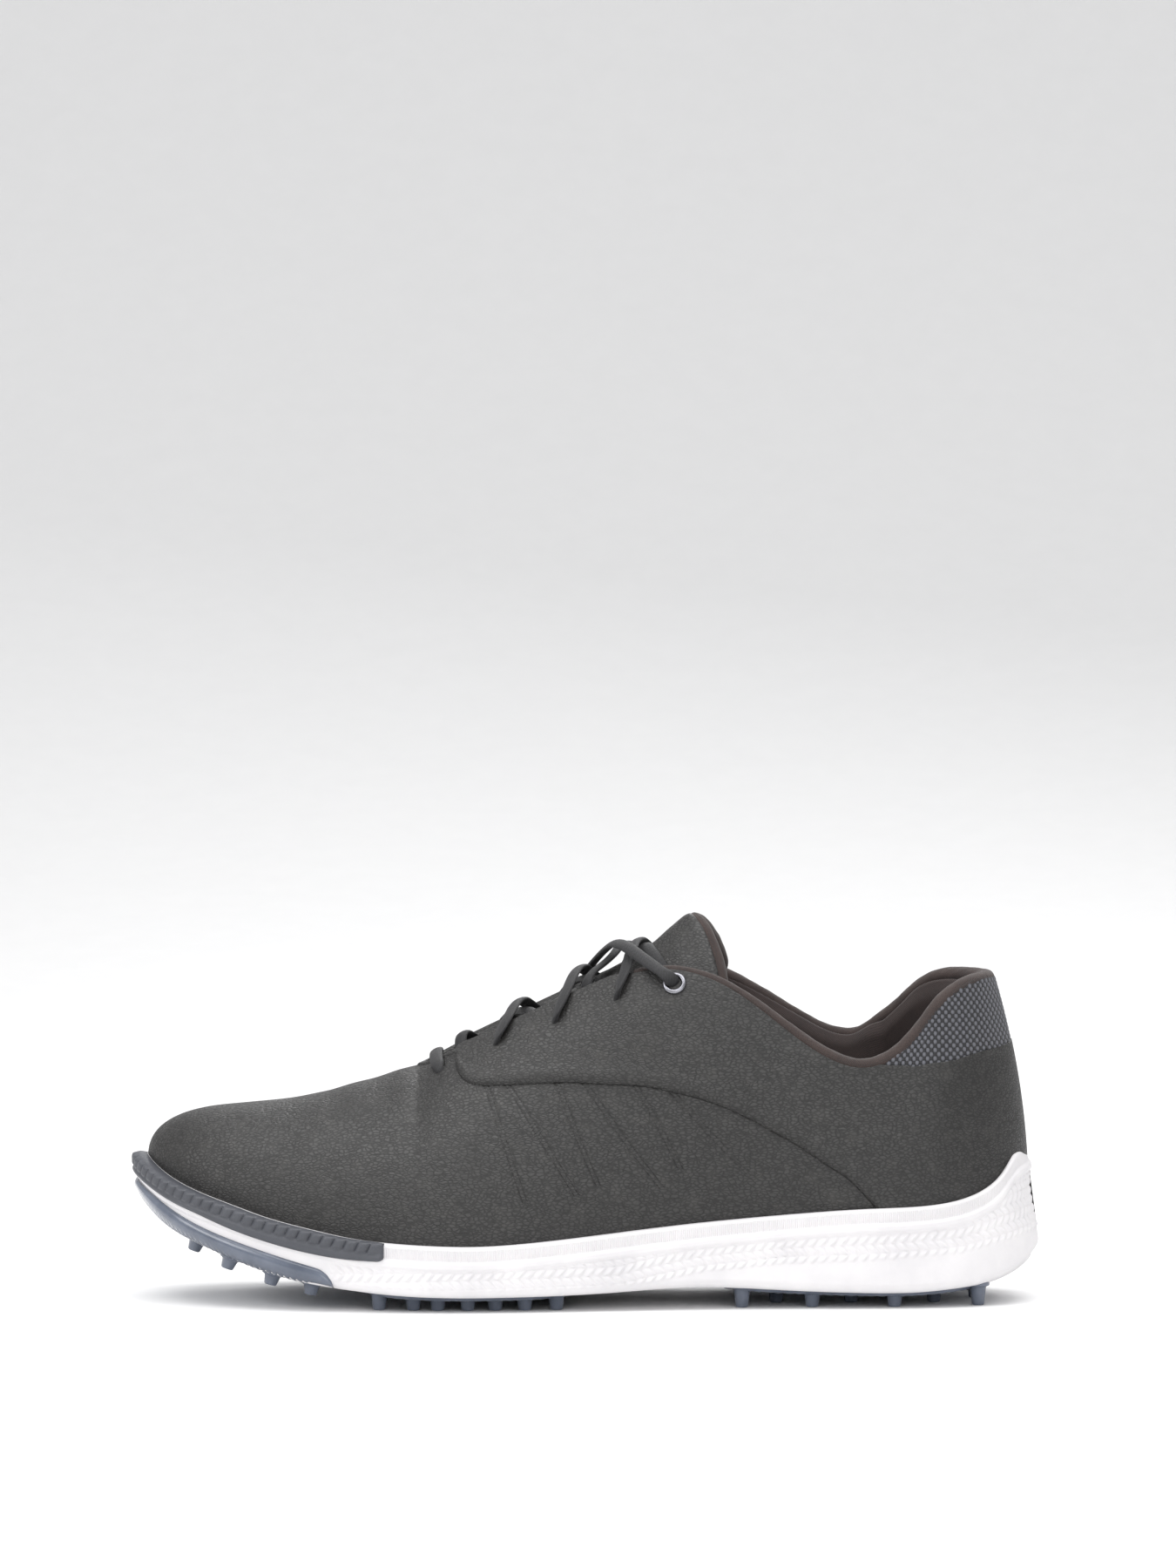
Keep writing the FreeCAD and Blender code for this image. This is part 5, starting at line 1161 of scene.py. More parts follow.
    def toe_pod(self) -> None:
        """The glossy pod that wraps the toe, with its nubs."""
        build = Build()
        end = turn(self.toe_pod_end)
        for side in Side:
            station = spaced(side, 0.0, end, 300)
            outline = LAST.outline(side, station)
            along = run_length(outline)
            x = outline[:, 0]
            bottom = SOLE_BOTTOM(x)
            near_end = along[-1] - along
            close = np.sqrt(1 - (1 - np.clip(near_end / 5.5, 0, 1)) ** 2)
            top = bottom + (TOE_POD_TOP(x) - bottom) * (0.25 + 0.75 * close)
            ring = []
            for inset, height in ((9.0, 1.0), (1.2, 1.0), (0.35, 0.98), (-0.1, 0.93), (-0.4, 0.86), (-0.75, 0.72),
                                  (-0.85, 0.58), (-0.7, 0.44), (-0.2, 0.31), (0.7, 0.2), (1.9, 0.115),
                                  (3.4, 0.055), (5.2, 0.02), (7.6, 0.0), (11.0, -0.01)):
                place = inset_outline(side, station, inset + 1.2 * (1 - close))
                place[:, 2] = SOLE_BOTTOM(place[:, 0]) + (top - bottom) * height
                ring.append(place)
            core = centre_line(station, 0.9)
            low, high = core.copy(), core.copy()
            low[:, 2] = SOLE_BOTTOM(core[:, 0])
            high[:, 2] = SOLE_BOTTOM(core[:, 0]) + 5.6
            points = np.stack([high] + ring + [low], axis=1)
            tooth = 0.4 * np.abs(np.sin(PI * along / 2.3)) * blend(6, 12, near_end)
            for column in (10, 11, 12):
                points[:, column, 2] -= tooth
            build.grid(points, flip=side is Side.MEDIAL)
        for x, share in self.toe_nubs:
            self.nub(build, x, share, 4.0)
        dress(closed(build.finish("toe_pod_shell", sharp=65)), self.palette.urethane, Slot.TPU, Body.SHOE,
              "outsole_toe_pod")

    def nub(self, build: Build, x: float, share: float, height: float | None) -> None:
        """Add one cone nub with its flared foot and soft tip.

        Args:
            build: The mesh that it joins.
            x: Its place along the sole.
            share: Its place across the sole, from the middle.
            height: Its height, or None to reach the ground.
        """
        station = np.array(turn(x))
        low = LAST.outline(Side.LATERAL, station)[1]
        high = LAST.outline(Side.MEDIAL, station)[1]
        y = (low + high) / 2 + share * (high - low) / 2
        level = float(SOLE_BOTTOM(np.array(x)))
        axis = np.array([0.0, 0.0, -1.0])
        if height is not None:
            slope = float(SOLE_BOTTOM(np.array(x + 3)) - SOLE_BOTTOM(np.array(x - 3))) / 6
            axis = unit(np.array([slope, 0.0, -1.0]))
        else:
            height = level
        base, tip = self.nub_base, self.nub_tip
        profile = [(0.05, -1.0), (base + 1.1, -1.0), (base + 1.1, 0.15), (base + 0.85, 0.5), (base + 0.15, 0.75),
                   (base - 0.1, 1.05), (tip + 0.15, height - 0.55), (tip + 0.02, height - 0.2), (tip - 0.25, height),
                   (tip - 0.8, height), (tip - 1.05, height - 0.25), (0.05, height - 0.3)]
        lathe(build, profile, np.array([x, y, level]), axis, turns=26)

    def flat_pod(self, name: str, start: float, end: float, rows: tuple[tuple[float, int], ...]) -> None:
        """A flat pod under the sole.

        Args:
            name: The pod's place on the sole.
            start: Its first x.
            end: Its last x.
            rows: The (x, count) of its nub rows.
        """
        build = Build()
        x = np.linspace(start, end, 220)
        share = np.linspace(-1, 1, 90)
        station = np.array([turn(place) for place in x])
        low = inset_outline(Side.LATERAL, station, np.full(len(x), 5.0))
        high = inset_outline(Side.MEDIAL, station, np.full(len(x), 5.0))
        nose = np.sqrt(1 - (1 - np.clip(np.minimum(x - start, end - x) / 16, 0.02, 1)) ** 2)
        centre, half = (low + high) / 2, (high - low) / 2 * (0.55 + 0.45 * nose)[:, None]
        points = centre[:, None] + half[:, None] * share[None, :, None]
        edge = np.minimum((1 - np.abs(share))[None, :] * np.linalg.norm(half, axis=1)[:, None],
                          np.minimum(x - start, end - x)[:, None])
        thick = 1.5 * np.sqrt(1 - (1 - np.clip(edge / 1.6, 0, 1)) ** 2)
        spokes = 0.25 * np.abs(np.sin(PI * points[..., 0] / 3.4))
        spokes = spokes * (1 - blend(2.0, 4.5, edge)) * blend(0.8, 1.6, edge)
        points[..., 2] = SOLE_BOTTOM(points[..., 0]) - thick - spokes + 0.3
        build.grid(points)
        roof = points.copy()
        roof[..., 2] = SOLE_BOTTOM(points[..., 0]) + 0.3
        roof[1:-1, 1:-1, 2] += 0.4
        build.grid(roof, flip=True)
        for place, count in rows:
            spread = 0.76 if count > 2 else 0.38
            for i in range(count):
                self.nub(build, place, spread * (2 * i / (count - 1) - 1), None)
        dress(closed(build.finish(name + "_pod_plate", sharp=65)), self.palette.urethane, Slot.TPU, Body.SHOE,
              f"outsole_{name}_pod")


# ---------------------------------------------------------------- the upper


@dataclass
class Upper:
    """The leather panels, their edges, the heel tab, the padded collar and its binding."""

    palette: Palette
    grooves: tuple[tuple[tuple[float, float], ...], ...] = (
        ((-33.4, 72.4), (-26.7, 52.6), (-19.1, 30.9)), ((-26.2, 72.6), (-14.5, 54.4), (-0.6, 32.6)),
        ((-9.9, 73.8), (-2.9, 55.2), (5.5, 35.8)), ((-1.2, 74.1), (11.9, 55.8), (29, 34.1)),
        ((15.7, 73.5), (24.4, 58.1), (32.8, 41)), ((27.3, 71.8), (39.7, 58.1), (60, 37.3)))
    groove_gap: float = 0.75
    groove_width: float = 0.42
    groove_depth: float = 0.7
    weave_pitch: float = 1.35
    weave_depth: float = 0.3

    def build(self) -> None:
        """Build and dress every piece of the upper."""
        self.vamp()
        for side in Side:
            self.quarter(side)
        self.heel_tab()
        self.throat_edge()
        self.collar_lining()
        self.collar_binding()

    def groove_field(self, points: np.ndarray) -> tuple[np.ndarray, np.ndarray]:
        """The pressed double lines on the vamp's sides.

        Args:
            points: Points of the form, in mm.

        Returns:
            How far each point is pressed in, from 0 to 1, and how much painted shade darkens it.
        """
        pressed = np.zeros(points.shape[:-1])
        groove_shade = np.zeros(points.shape[:-1])
        x, z = points[..., 0], points[..., 2]
        for rank, line in enumerate(self.grooves):
            nodes = np.array(line)
            height = np.linspace(nodes[-1, 1], nodes[0, 1], 40)
            path = Spline(tuple((float(b), float(a)) for a, b in nodes[::-1]))
            centre = path(np.clip(z, height[0], height[-1]))
            slope = np.hypot(1.0, (nodes[-1, 0] - nodes[0, 0]) / (nodes[0, 1] - nodes[-1, 1]))
            away = (x - centre) / slope
            inside = blend(height[0], height[0] + 9, z) * (z < height[-1] + 4)
            two = sum(np.exp(-(((away - sign * self.groove_gap) / self.groove_width) ** 2)) for sign in (-1, 1))
            fade = inside * (0.35 + 0.65 * blend(42, 66, z)) * (1.0 - 0.07 * rank)
            pressed = np.maximum(pressed, two * fade)
            # Painted shade in the grooves, stronger higher up the vamp.
            groove_shade = np.maximum(groove_shade, two * fade * blend(38, 62, z))
        return pressed, groove_shade

    def vamp(self) -> None:
        """The vamp, wrapped over the toe and swept back under the quarters."""
        build = Build()
        front, back = 0.0, VAMP_FOOT
        knots = [front, turn(-44), turn(62), back]
        parts = [np.linspace(a, b, n, endpoint=False) for a, b, n in zip(knots[:-1], knots[1:], (210, 400, 60))]
        station = np.concatenate(parts + [[back]])
        top = np.where(station <= THROAT, 1.0, vamp_rear(station))
        share = np.linspace(0, 1, 210)
        rise = top[:, None] * share[None, :]
        for side in Side:
            grid = np.broadcast_to(station[:, None], rise.shape)
            form = LAST.form(side, grid, rise)
            pressed, groove_shade = self.groove_field(form)
            flex = 0.12 * np.sin(form[..., 0] / 3.1 + 0.25 * form[..., 2]) * blend(-96, -84, form[..., 0])
            flex = flex * (1 - blend(-62, -54, form[..., 0])) * blend(0.45, 0.7, rise)
            points = LAST.under(side, grid, rise, self.groove_depth * pressed + flex)
            # The tint carries the grooves' painted shade to the leather.
            build.grid(points, cloth=stack(form[..., 0], form[..., 2]), tint=groove_shade, flip=side is Side.LATERAL)
        obj = build.finish("vamp_leather", sharp=60)
        dress(thicken(obj, LEATHER), self.palette.leather, Slot.LEATHER, Body.SHOE, "vamp")

    def quarter(self, side: Side) -> None:
        """One quarter, laid over the vamp with a folded edge.

        Args:
            side: The side of the shoe.
        """
        build = Build()
        count, rows = 460, 190
        share = np.linspace(0, 1, count) ** 1.35
        station = QUARTER_START + (PI - QUARTER_START) * share
        low = quarter_low(station)
        collar = LAST.drop(side, station, 0.3 + 2.4 * blend(COLLAR_START - 0.03, COLLAR_START + 0.03, station))
        tab = Monotone(tuple([(TAB_START, float(collar[np.searchsorted(station, TAB_START)]))] + TAB_POINTS
                             + [(PI, TAB_POINTS[-1][1])]))
        high = np.where(station < TAB_START, collar, tab(station) + 0.004)
        rise = low[:, None] + (high - low)[:, None] * np.linspace(0, 1, rows)[None, :]
        grid = np.broadcast_to(station[:, None], rise.shape)
        form = LAST.form(side, grid, rise)
        climb = np.cumsum(np.linalg.norm(np.diff(form, axis=1), axis=2), axis=1)
        up = np.concatenate([np.zeros((count, 1)), climb], axis=1)
        front = np.linalg.norm(form - form[:1], axis=-1)
        edge = np.minimum(np.where(low[:, None] > 1e-3, up, 50.0), front)
        fold = 0.95 * (1 - np.sqrt(1 - (1 - np.clip(edge / 1.5, 0, 1)) ** 2))
        puff = 0.25 * np.exp(-(((edge - 2.6) / 1.8) ** 2))
        depth = -OVERLAY - puff + fold
        points = LAST.under(side, grid, rise, depth)
        build.grid(points, cloth=stack(form[..., 0], form[..., 2]), flip=side is Side.LATERAL)
        obj = build.finish(f"quarter_{side.name.lower()}_leather", sharp=60)
        dress(thicken(obj, LEATHER - 0.05), self.palette.leather, Slot.LEATHER, Body.SHOE,
              f"quarter_{side.name.lower()}")

    def heel_tab(self) -> None:
        """The woven tab over the back of the heel; its basket weave is modelled."""
        build = Build()
        for side in Side:
            station = np.linspace(TAB_START + 0.02, PI, 230)
            top = LAST.drop(side, station, 2.7 + 0 * station)
            low_start = float(top[0])
            low = Monotone(tuple([(TAB_START, low_start)] + TAB_POINTS + [(PI, TAB_POINTS[-1][1])]))(station)
            low = np.minimum(low, top - 0.002)
            rise = low[:, None] + (top - low)[:, None] * np.linspace(0, 1, 120)[None, :]
            grid = np.broadcast_to(station[:, None], rise.shape)
            form = LAST.form(side, grid, rise)
            along = run_length(form[::-1, 60])[::-1]
            height = form[..., 2] + 0 * rise
            a = along[:, None] / self.weave_pitch + 0 * rise
            b = height / self.weave_pitch
            even = ((np.floor(a) + np.floor(b)) % 2) < 1
            fa, fb = a % 1, b % 1
            warp = np.sin(PI * fb) ** 0.6 * (1 - 0.75 * (2 * fa - 1) ** 2)
            weft = np.sin(PI * fa) ** 0.6 * (1 - 0.75 * (2 * fb - 1) ** 2)
            crown = np.where(even, warp, weft * 0.8)
            # The tint sets the woven finish's painted highlight on the warp crowns and painted shade between the
            # yarns; the weft crowns stay below the highlight.
            tint = np.where(even, crown, crown * 0.55)
            points = LAST.under(side, grid, rise, -1.25 - self.weave_depth * crown)
            build.grid(points, cloth=stack(a * self.weave_pitch, height), tint=tint, flip=side is Side.LATERAL)
        obj = build.finish("heel_tab_weave", sharp=80)
        dress(thicken(obj, 1.1), self.palette.mesh, Slot.MESH, Body.SHOE, "heel_tab")

    def throat_edge(self) -> None:
        """The rolled leather edge along the throat, and the stitches under it."""
        station = np.linspace(THROAT + 0.004, COLLAR_START + 0.01, 130)
        line = np.concatenate([
            LAST.under(Side.LATERAL, station, LAST.drop(Side.LATERAL, station, 0.5), np.full(130, -0.6))[::-1],
            LAST.under(Side.MEDIAL, station, LAST.drop(Side.MEDIAL, station, 0.5), np.full(130, -0.6))])
        out = np.concatenate([LAST.normal(Side.LATERAL, station, np.full(130, 0.99))[::-1],
                              LAST.normal(Side.MEDIAL, station, np.full(130, 0.99))])
        build = Build()
        tube(build, line, out, np.full(260, 1.35), np.full(260, 1.25), steps=18,
             relief=lambda a, g: 0.05 * np.sin(a / 1.7) * np.sin(g * 2) ** 2)
        edge = closed(build.finish("throat_edge_roll", sharp=80))
        edge.data.attributes["tint"].data.foreach_set("value", np.zeros(len(edge.data.vertices), np.float32))
        dress(edge, self.palette.leather, Slot.LEATHER, Body.SHOE)
        rows = Build()
        for side in Side:
            spots = station[station > QUARTER_START + 0.02]
            seam = LAST.drop(side, spots, 2.6 + 0 * spots)
            stitches(rows, LAST.under(side, spots, seam, np.full(len(spots), -OVERLAY - 0.1)),
                     LAST.normal(side, spots, seam))
            mark = np.linspace(0, 1, 6)
            for shift in (-0.9, 0.9):
                where = LAST.locate(side, 104 + shift, 46.5)
                tack = LAST.under(side, np.full(6, where[0]), where[1] + 0.035 * mark,
                                  np.full(6, -OVERLAY - 0.05))
                stitches(rows, tack, LAST.normal(side, np.full(6, where[0]), np.full(6, where[1])), pitch=1.5,
                         length=1.2, radius=0.2)
        dress(closed(rows.finish("upper_stitching", sharp=80)), self.palette.thread, Slot.LEATHER, Body.SHOE)

    def collar_lining(self) -> None:
        """The padded lining inside the collar and heel."""
        build = Build()
        for side in Side:
            station = np.linspace(LINING_START + 0.004, PI, 260)
            top = LAST.drop(side, station, 0.5 + 1.9 * blend(COLLAR_START - 0.05, COLLAR_START, station))
            rise = top[:, None] * np.linspace(0.0, 1, 90)[None, :]
            grid = np.broadcast_to(station[:, None], rise.shape)
            form = LAST.form(side, grid, rise)
            cushion = blend(LAST.station_at(30), LAST.station_at(66), grid)
            swell = cushion * 0.5 * np.sin(PI * blend(0.55, 1.0, rise)) ** 2
            points = LAST.under(side, grid, rise, lining_depth(grid, rise) + LINING_SKIN + swell)
            build.grid(points, cloth=stack(form[..., 0], form[..., 2]), flip=side is Side.MEDIAL)
        obj = thicken(build.finish("collar_lining_pad", sharp=80), LINING_SKIN)
        dress(obj, self.palette.lining, Slot.LINING, Body.SHOE, "quarter_lining")

    def collar_binding(self) -> None:
        """The knit roll round the collar, from throat to throat."""
        count = 300
        station = np.linspace(COLLAR_START + 0.01, PI, count)
        pieces = []
        for side in Side:
            one = np.full(count, 1.0)
            out = LAST.normal(side, station, one)
            fall = unit(LAST.form(side, station, one) - LAST.form(side, station, one * 0.97))
            edge = LAST.edge(side, station)
            pieces.append((edge - out * 0.35 - fall * 2.15, out, edge[:, 0]))
        line = np.concatenate([pieces[0][0], pieces[1][0][-2::-1]])
        out = np.concatenate([pieces[0][1], pieces[1][1][-2::-1]])
        x = np.concatenate([pieces[0][2], pieces[1][2][-2::-1]])
        low = 1 - np.clip(np.abs(x - 86) / 40, 0, 1)
        length = run_length(line)
        start = np.minimum(length, length[-1] - length)
        cuff = 1 + 0.1 * (1 - blend(4.0, 6.0, start))
        build = Build()
        tube(build, line, out, (2.75 + 0.35 * low) * cuff, (2.35 + 0.2 * low) * cuff, steps=30,
             relief=lambda a, g: 0.05 * np.sin(a / 2.3 + np.sin(g)) + 0.04 * np.sin(a / 0.9 + 2 * g))
        obj = closed(build.finish("collar_binding_roll", sharp=80))
        dress(obj, self.palette.binding, Slot.BINDING, Body.SHOE, "collar_binding")


# ---------------------------------------------------------------- eyelets, tongue and lace


@dataclass(frozen=True)
class Hole:
    """One lace hole: its centre on the form, its outward axis and the skin over the form."""

    centre: np.ndarray
    out: np.ndarray
    skin: float

    def at(self, height: float) -> np.ndarray:
        """A point on the hole's axis, at a height over the form."""
        return self.centre + self.out * height


@dataclass
class Eyelets:
    """The eight small flanged eyelets, and the two top rings on stitched washers."""

    palette: Palette
    places: tuple[tuple[float, float], ...] = (
        (-48.4, 75.5), (-29.6, 84.0), (-10.2, 91.6), (10.2, 99.8), (29.0, 105.0))

    def holes(self) -> dict[tuple[Side, int], Hole]:
        """The lace holes by side and number, from the front."""
        found = {}
        for side in Side:
            for index, (x, z) in enumerate(self.places):
                station, rise = LAST.locate(side, x, z)
                found[side, index] = Hole(LAST.form(side, np.array(station), np.array(rise)),
                                          LAST.normal(side, np.array(station), np.array(rise)),
                                          0.0 if index == 0 else OVERLAY)
        return found

    def build(self) -> None:
        """Build and dress the eyelets, rings and washers."""
        small, rings, washers, thread = Build(), Build(), Build(), Build()
        flange = [(1.9, -2.0), (1.9, 0.1), (2.0, 0.45), (2.25, 0.74), (2.6, 0.84), (2.95, 0.7), (3.16, 0.4),
                  (3.18, 0.05), (2.3, 0.0), (2.2, -2.0)]
        wire = [(3.1 + 0.85 * math.cos(a), 1.45 + 0.85 * math.sin(a)) for a in np.linspace(0, 2 * PI, 15)]
        sleeve = [(2.15, -1.5), (2.2, 0.9), (2.5, 1.3), (3.0, 1.2), (3.0, 0.8), (2.45, 0.6), (2.4, -1.5),
                  (2.15, -1.5)]
        cloth = [(2.5, 0.1), (5.15, 0.1), (5.45, 0.3), (5.4, 0.62), (5.1, 0.85), (4.4, 0.95), (3.0, 0.8), (2.5, 0.6),
                 (2.5, 0.1)]
        for (_, index), hole in self.holes().items():
            if index < len(self.places) - 1:
                lathe(small, flange + flange[:1], hole.at(hole.skin), hole.out, turns=36)
                continue
            lathe(rings, wire, hole.at(hole.skin), hole.out, turns=44)
            lathe(rings, sleeve, hole.at(hole.skin), hole.out, turns=36)
            lathe(washers, cloth, hole.at(hole.skin), hole.out, turns=48)
            side = unit(np.cross(hole.out, [0.31, 0.95, 0.11]))
            other = np.cross(hole.out, side)
            angle = np.linspace(0, 2 * PI, 90)
            ring = np.cos(angle)[:, None] * side + np.sin(angle)[:, None] * other
            circle = hole.at(hole.skin + 0.93) + 4.75 * ring
            stitches(thread, circle, np.tile(hole.out, (90, 1)), pitch=1.75, length=1.3, radius=0.24,
                     turned=True)
        dress(small.finish("small_eyelet_flanges", sharp=70), self.palette.enamel, Slot.GUNMETAL, Body.SHOE,
              "small_eyelets")
        dress(rings.finish("top_eyelet_wire_rings", sharp=70), self.palette.gunmetal, Slot.GUNMETAL, Body.SHOE,
              "top_eyelet_rings")
        dress(washers.finish("top_eyelet_leather_washers", sharp=70), self.palette.leather, Slot.LEATHER, Body.SHOE,
              "top_eyelet_washers")
        dress(closed(thread.finish("top_eyelet_stitching", sharp=80)), self.palette.thread, Slot.LEATHER,
              Body.SHOE)


@dataclass
class Tongue:
    """The padded tongue: leather face, knit back and a bound top edge."""

    palette: Palette
    rows: tuple[tuple[float, float, float, float, float], ...] = (
        (-60.0, 69.6, -60.0, 0.0, 4.0), (-52.0, 73.8, -52.0, 0.0, 4.0), (-42.0, 80.2, -42.5, 0.0, 6.0),
        (-28.0, 88.6, -28.0, 0.0, 11.0), (-12.0, 97.6, -12.0, 0.0, 12.0), (4.0, 106.6, 4.0, 0.0, 12.0),
        (16.0, 113.2, 18.0, 0.0, 12.0), (26.0, 120.4, 31.0, 1.0, 12.0), (34.4, 127.6, 42.5, 4.0, 12.0))
    depth: float = 6.4
    thickness: float = 5.3

    def sheet(self, sink: float, steps: tuple[int, int]) -> np.ndarray:
        """The tongue's surface, sunk under its face.

        Args:
            sink: How deep it lies, in mm.
            steps: The number of points along and across.

        Returns:
            Rows of points from the front to the top.
        """
        table = []
        for x, z, flank, lift, reach in self.rows:
            station = np.array(LAST.station_at(flank))
            sides = []
            for side in Side:
                hip = LAST.under(side, station, LAST.drop(side, station, 0.5), np.array(self.depth + sink))
                wing = LAST.under(side, station, LAST.drop(side, station, reach), np.array(self.depth + sink))
                up = np.array([0.0, 0.0, lift])
                sides.append([wing + up * 0.4, (wing + hip) * 0.5 + up * 0.7, hip + up])
            crown = np.array([x, float(middle(np.array(x))), z - sink * 1.15])
            lateral, medial = sides
            between = [hip[2] * 0.45 + crown * 0.55 + np.array([0, 0, 0.24 * (crown[2] - hip[2][2])])
                       for hip in sides]
            table.append(lateral + [between[0], crown, between[1]] + medial[::-1])
        control = np.array(table)
        count, width = control.shape[:2]
        rows = np.stack([np.stack([Spline(tuple(zip(range(width), control[i, :, k])))(
            np.linspace(0, width - 1, steps[1])) for k in range(3)], axis=-1) for i in range(count)])
        return np.stack([np.stack([Spline(tuple(zip(range(count), rows[:, j, k])))(
            np.linspace(0, count - 1, steps[0])) for k in range(3)], axis=-1) for j in range(steps[1])], axis=1)

    def build(self) -> None:
        """Build and dress the tongue's face, pad and binding."""
        steps = (230, 110)
        across = np.linspace(-1, 1, steps[1])[None, :]
        along = np.linspace(0, 1, steps[0])[:, None]
        rim = np.minimum((1 - np.abs(across)) / 0.12, (1 - along) / 0.05)
        dome = np.sqrt(1 - (1 - np.clip(rim, 0, 1)) ** 2)
        face, back = self.sheet(0.0, steps), self.sheet(self.thickness, steps)
        through = unit(back - face)
        crease = 0.35 * np.exp(-(((along - 0.80 - 0.03 * across**2) / 0.012) ** 2)) * dome
        puff = 0.55 * dome * blend(0.82, 0.9, along) + 0.2 * dome
        top = face - through * (puff - 0.9 * (1 - dome) - crease)[..., None]
        cloth = stack(run_length(face[:, steps[1] // 2])[:, None] + 0 * across, across * 30 + 0 * along)
        leather = Build()
        leather.grid(top, cloth=cloth, flip=True)
        obj = thicken(leather.finish("tongue_leather_face", sharp=70), 0.9)
        dress(obj, self.palette.leather, Slot.LEATHER, Body.TONGUE, "tongue_face")
        pad = Build()
        upper = face + through * (1.0 + 0.9 * (1 - dome))[..., None]
        lower = back + through * (0.3 * dome - 0.9 * (1 - dome))[..., None]
        pad.grid(upper, cloth=cloth, flip=True)
        pad.grid(lower, cloth=cloth)
        for edge in (lambda grid: grid[:, 0], lambda grid: grid[::-1, -1], lambda grid: grid[0, ::-1],
                     lambda grid: grid[-1]):
            mid = (edge(upper) + edge(lower)) / 2
            place = stack(run_length(mid), np.zeros(len(mid)))[None] + np.zeros((3, 1, 1))
            pad.grid(np.stack([edge(upper), mid, edge(lower)]), cloth=place)
        padding = closed(pad.finish("tongue_knit_pad", sharp=80))
        dress(padding, self.palette.lining, Slot.LINING, Body.TONGUE, "tongue_lining", "tongue_foam")
        self.binding(face[-1], back[-1], face[-4])

    def binding(self, face: np.ndarray, back: np.ndarray, before: np.ndarray) -> None:
        """The knit roll over the tongue's top edge.

        Args:
            face: The face's last row.
            back: The back's last row.
            before: A row of the face just before its last.
        """
        through = unit(face - back)
        ahead = unit(face - before)
        line = (face + back) / 2 + ahead * 1.3
        build = Build()
        count = len(line)
        tube(build, line, through, np.full(count, 2.95), np.full(count, 2.15), steps=26,
             relief=lambda a, g: 0.06 * np.sin(a / 1.9 + g) + 0.04 * np.sin(a / 0.8))
        obj = closed(build.finish("tongue_binding_roll", sharp=80))
        dress(obj, self.palette.binding, Slot.BINDING, Body.TONGUE, "tongue_binding")
        rows = Build()
        seam = face - ahead * 1.5 + through * 0.55
        stitches(rows, seam, through, pitch=2.4, length=1.5, radius=0.22)
        dress(closed(rows.finish("tongue_binding_stitches", sharp=80)), self.palette.thread, Slot.LEATHER,
              Body.TONGUE)


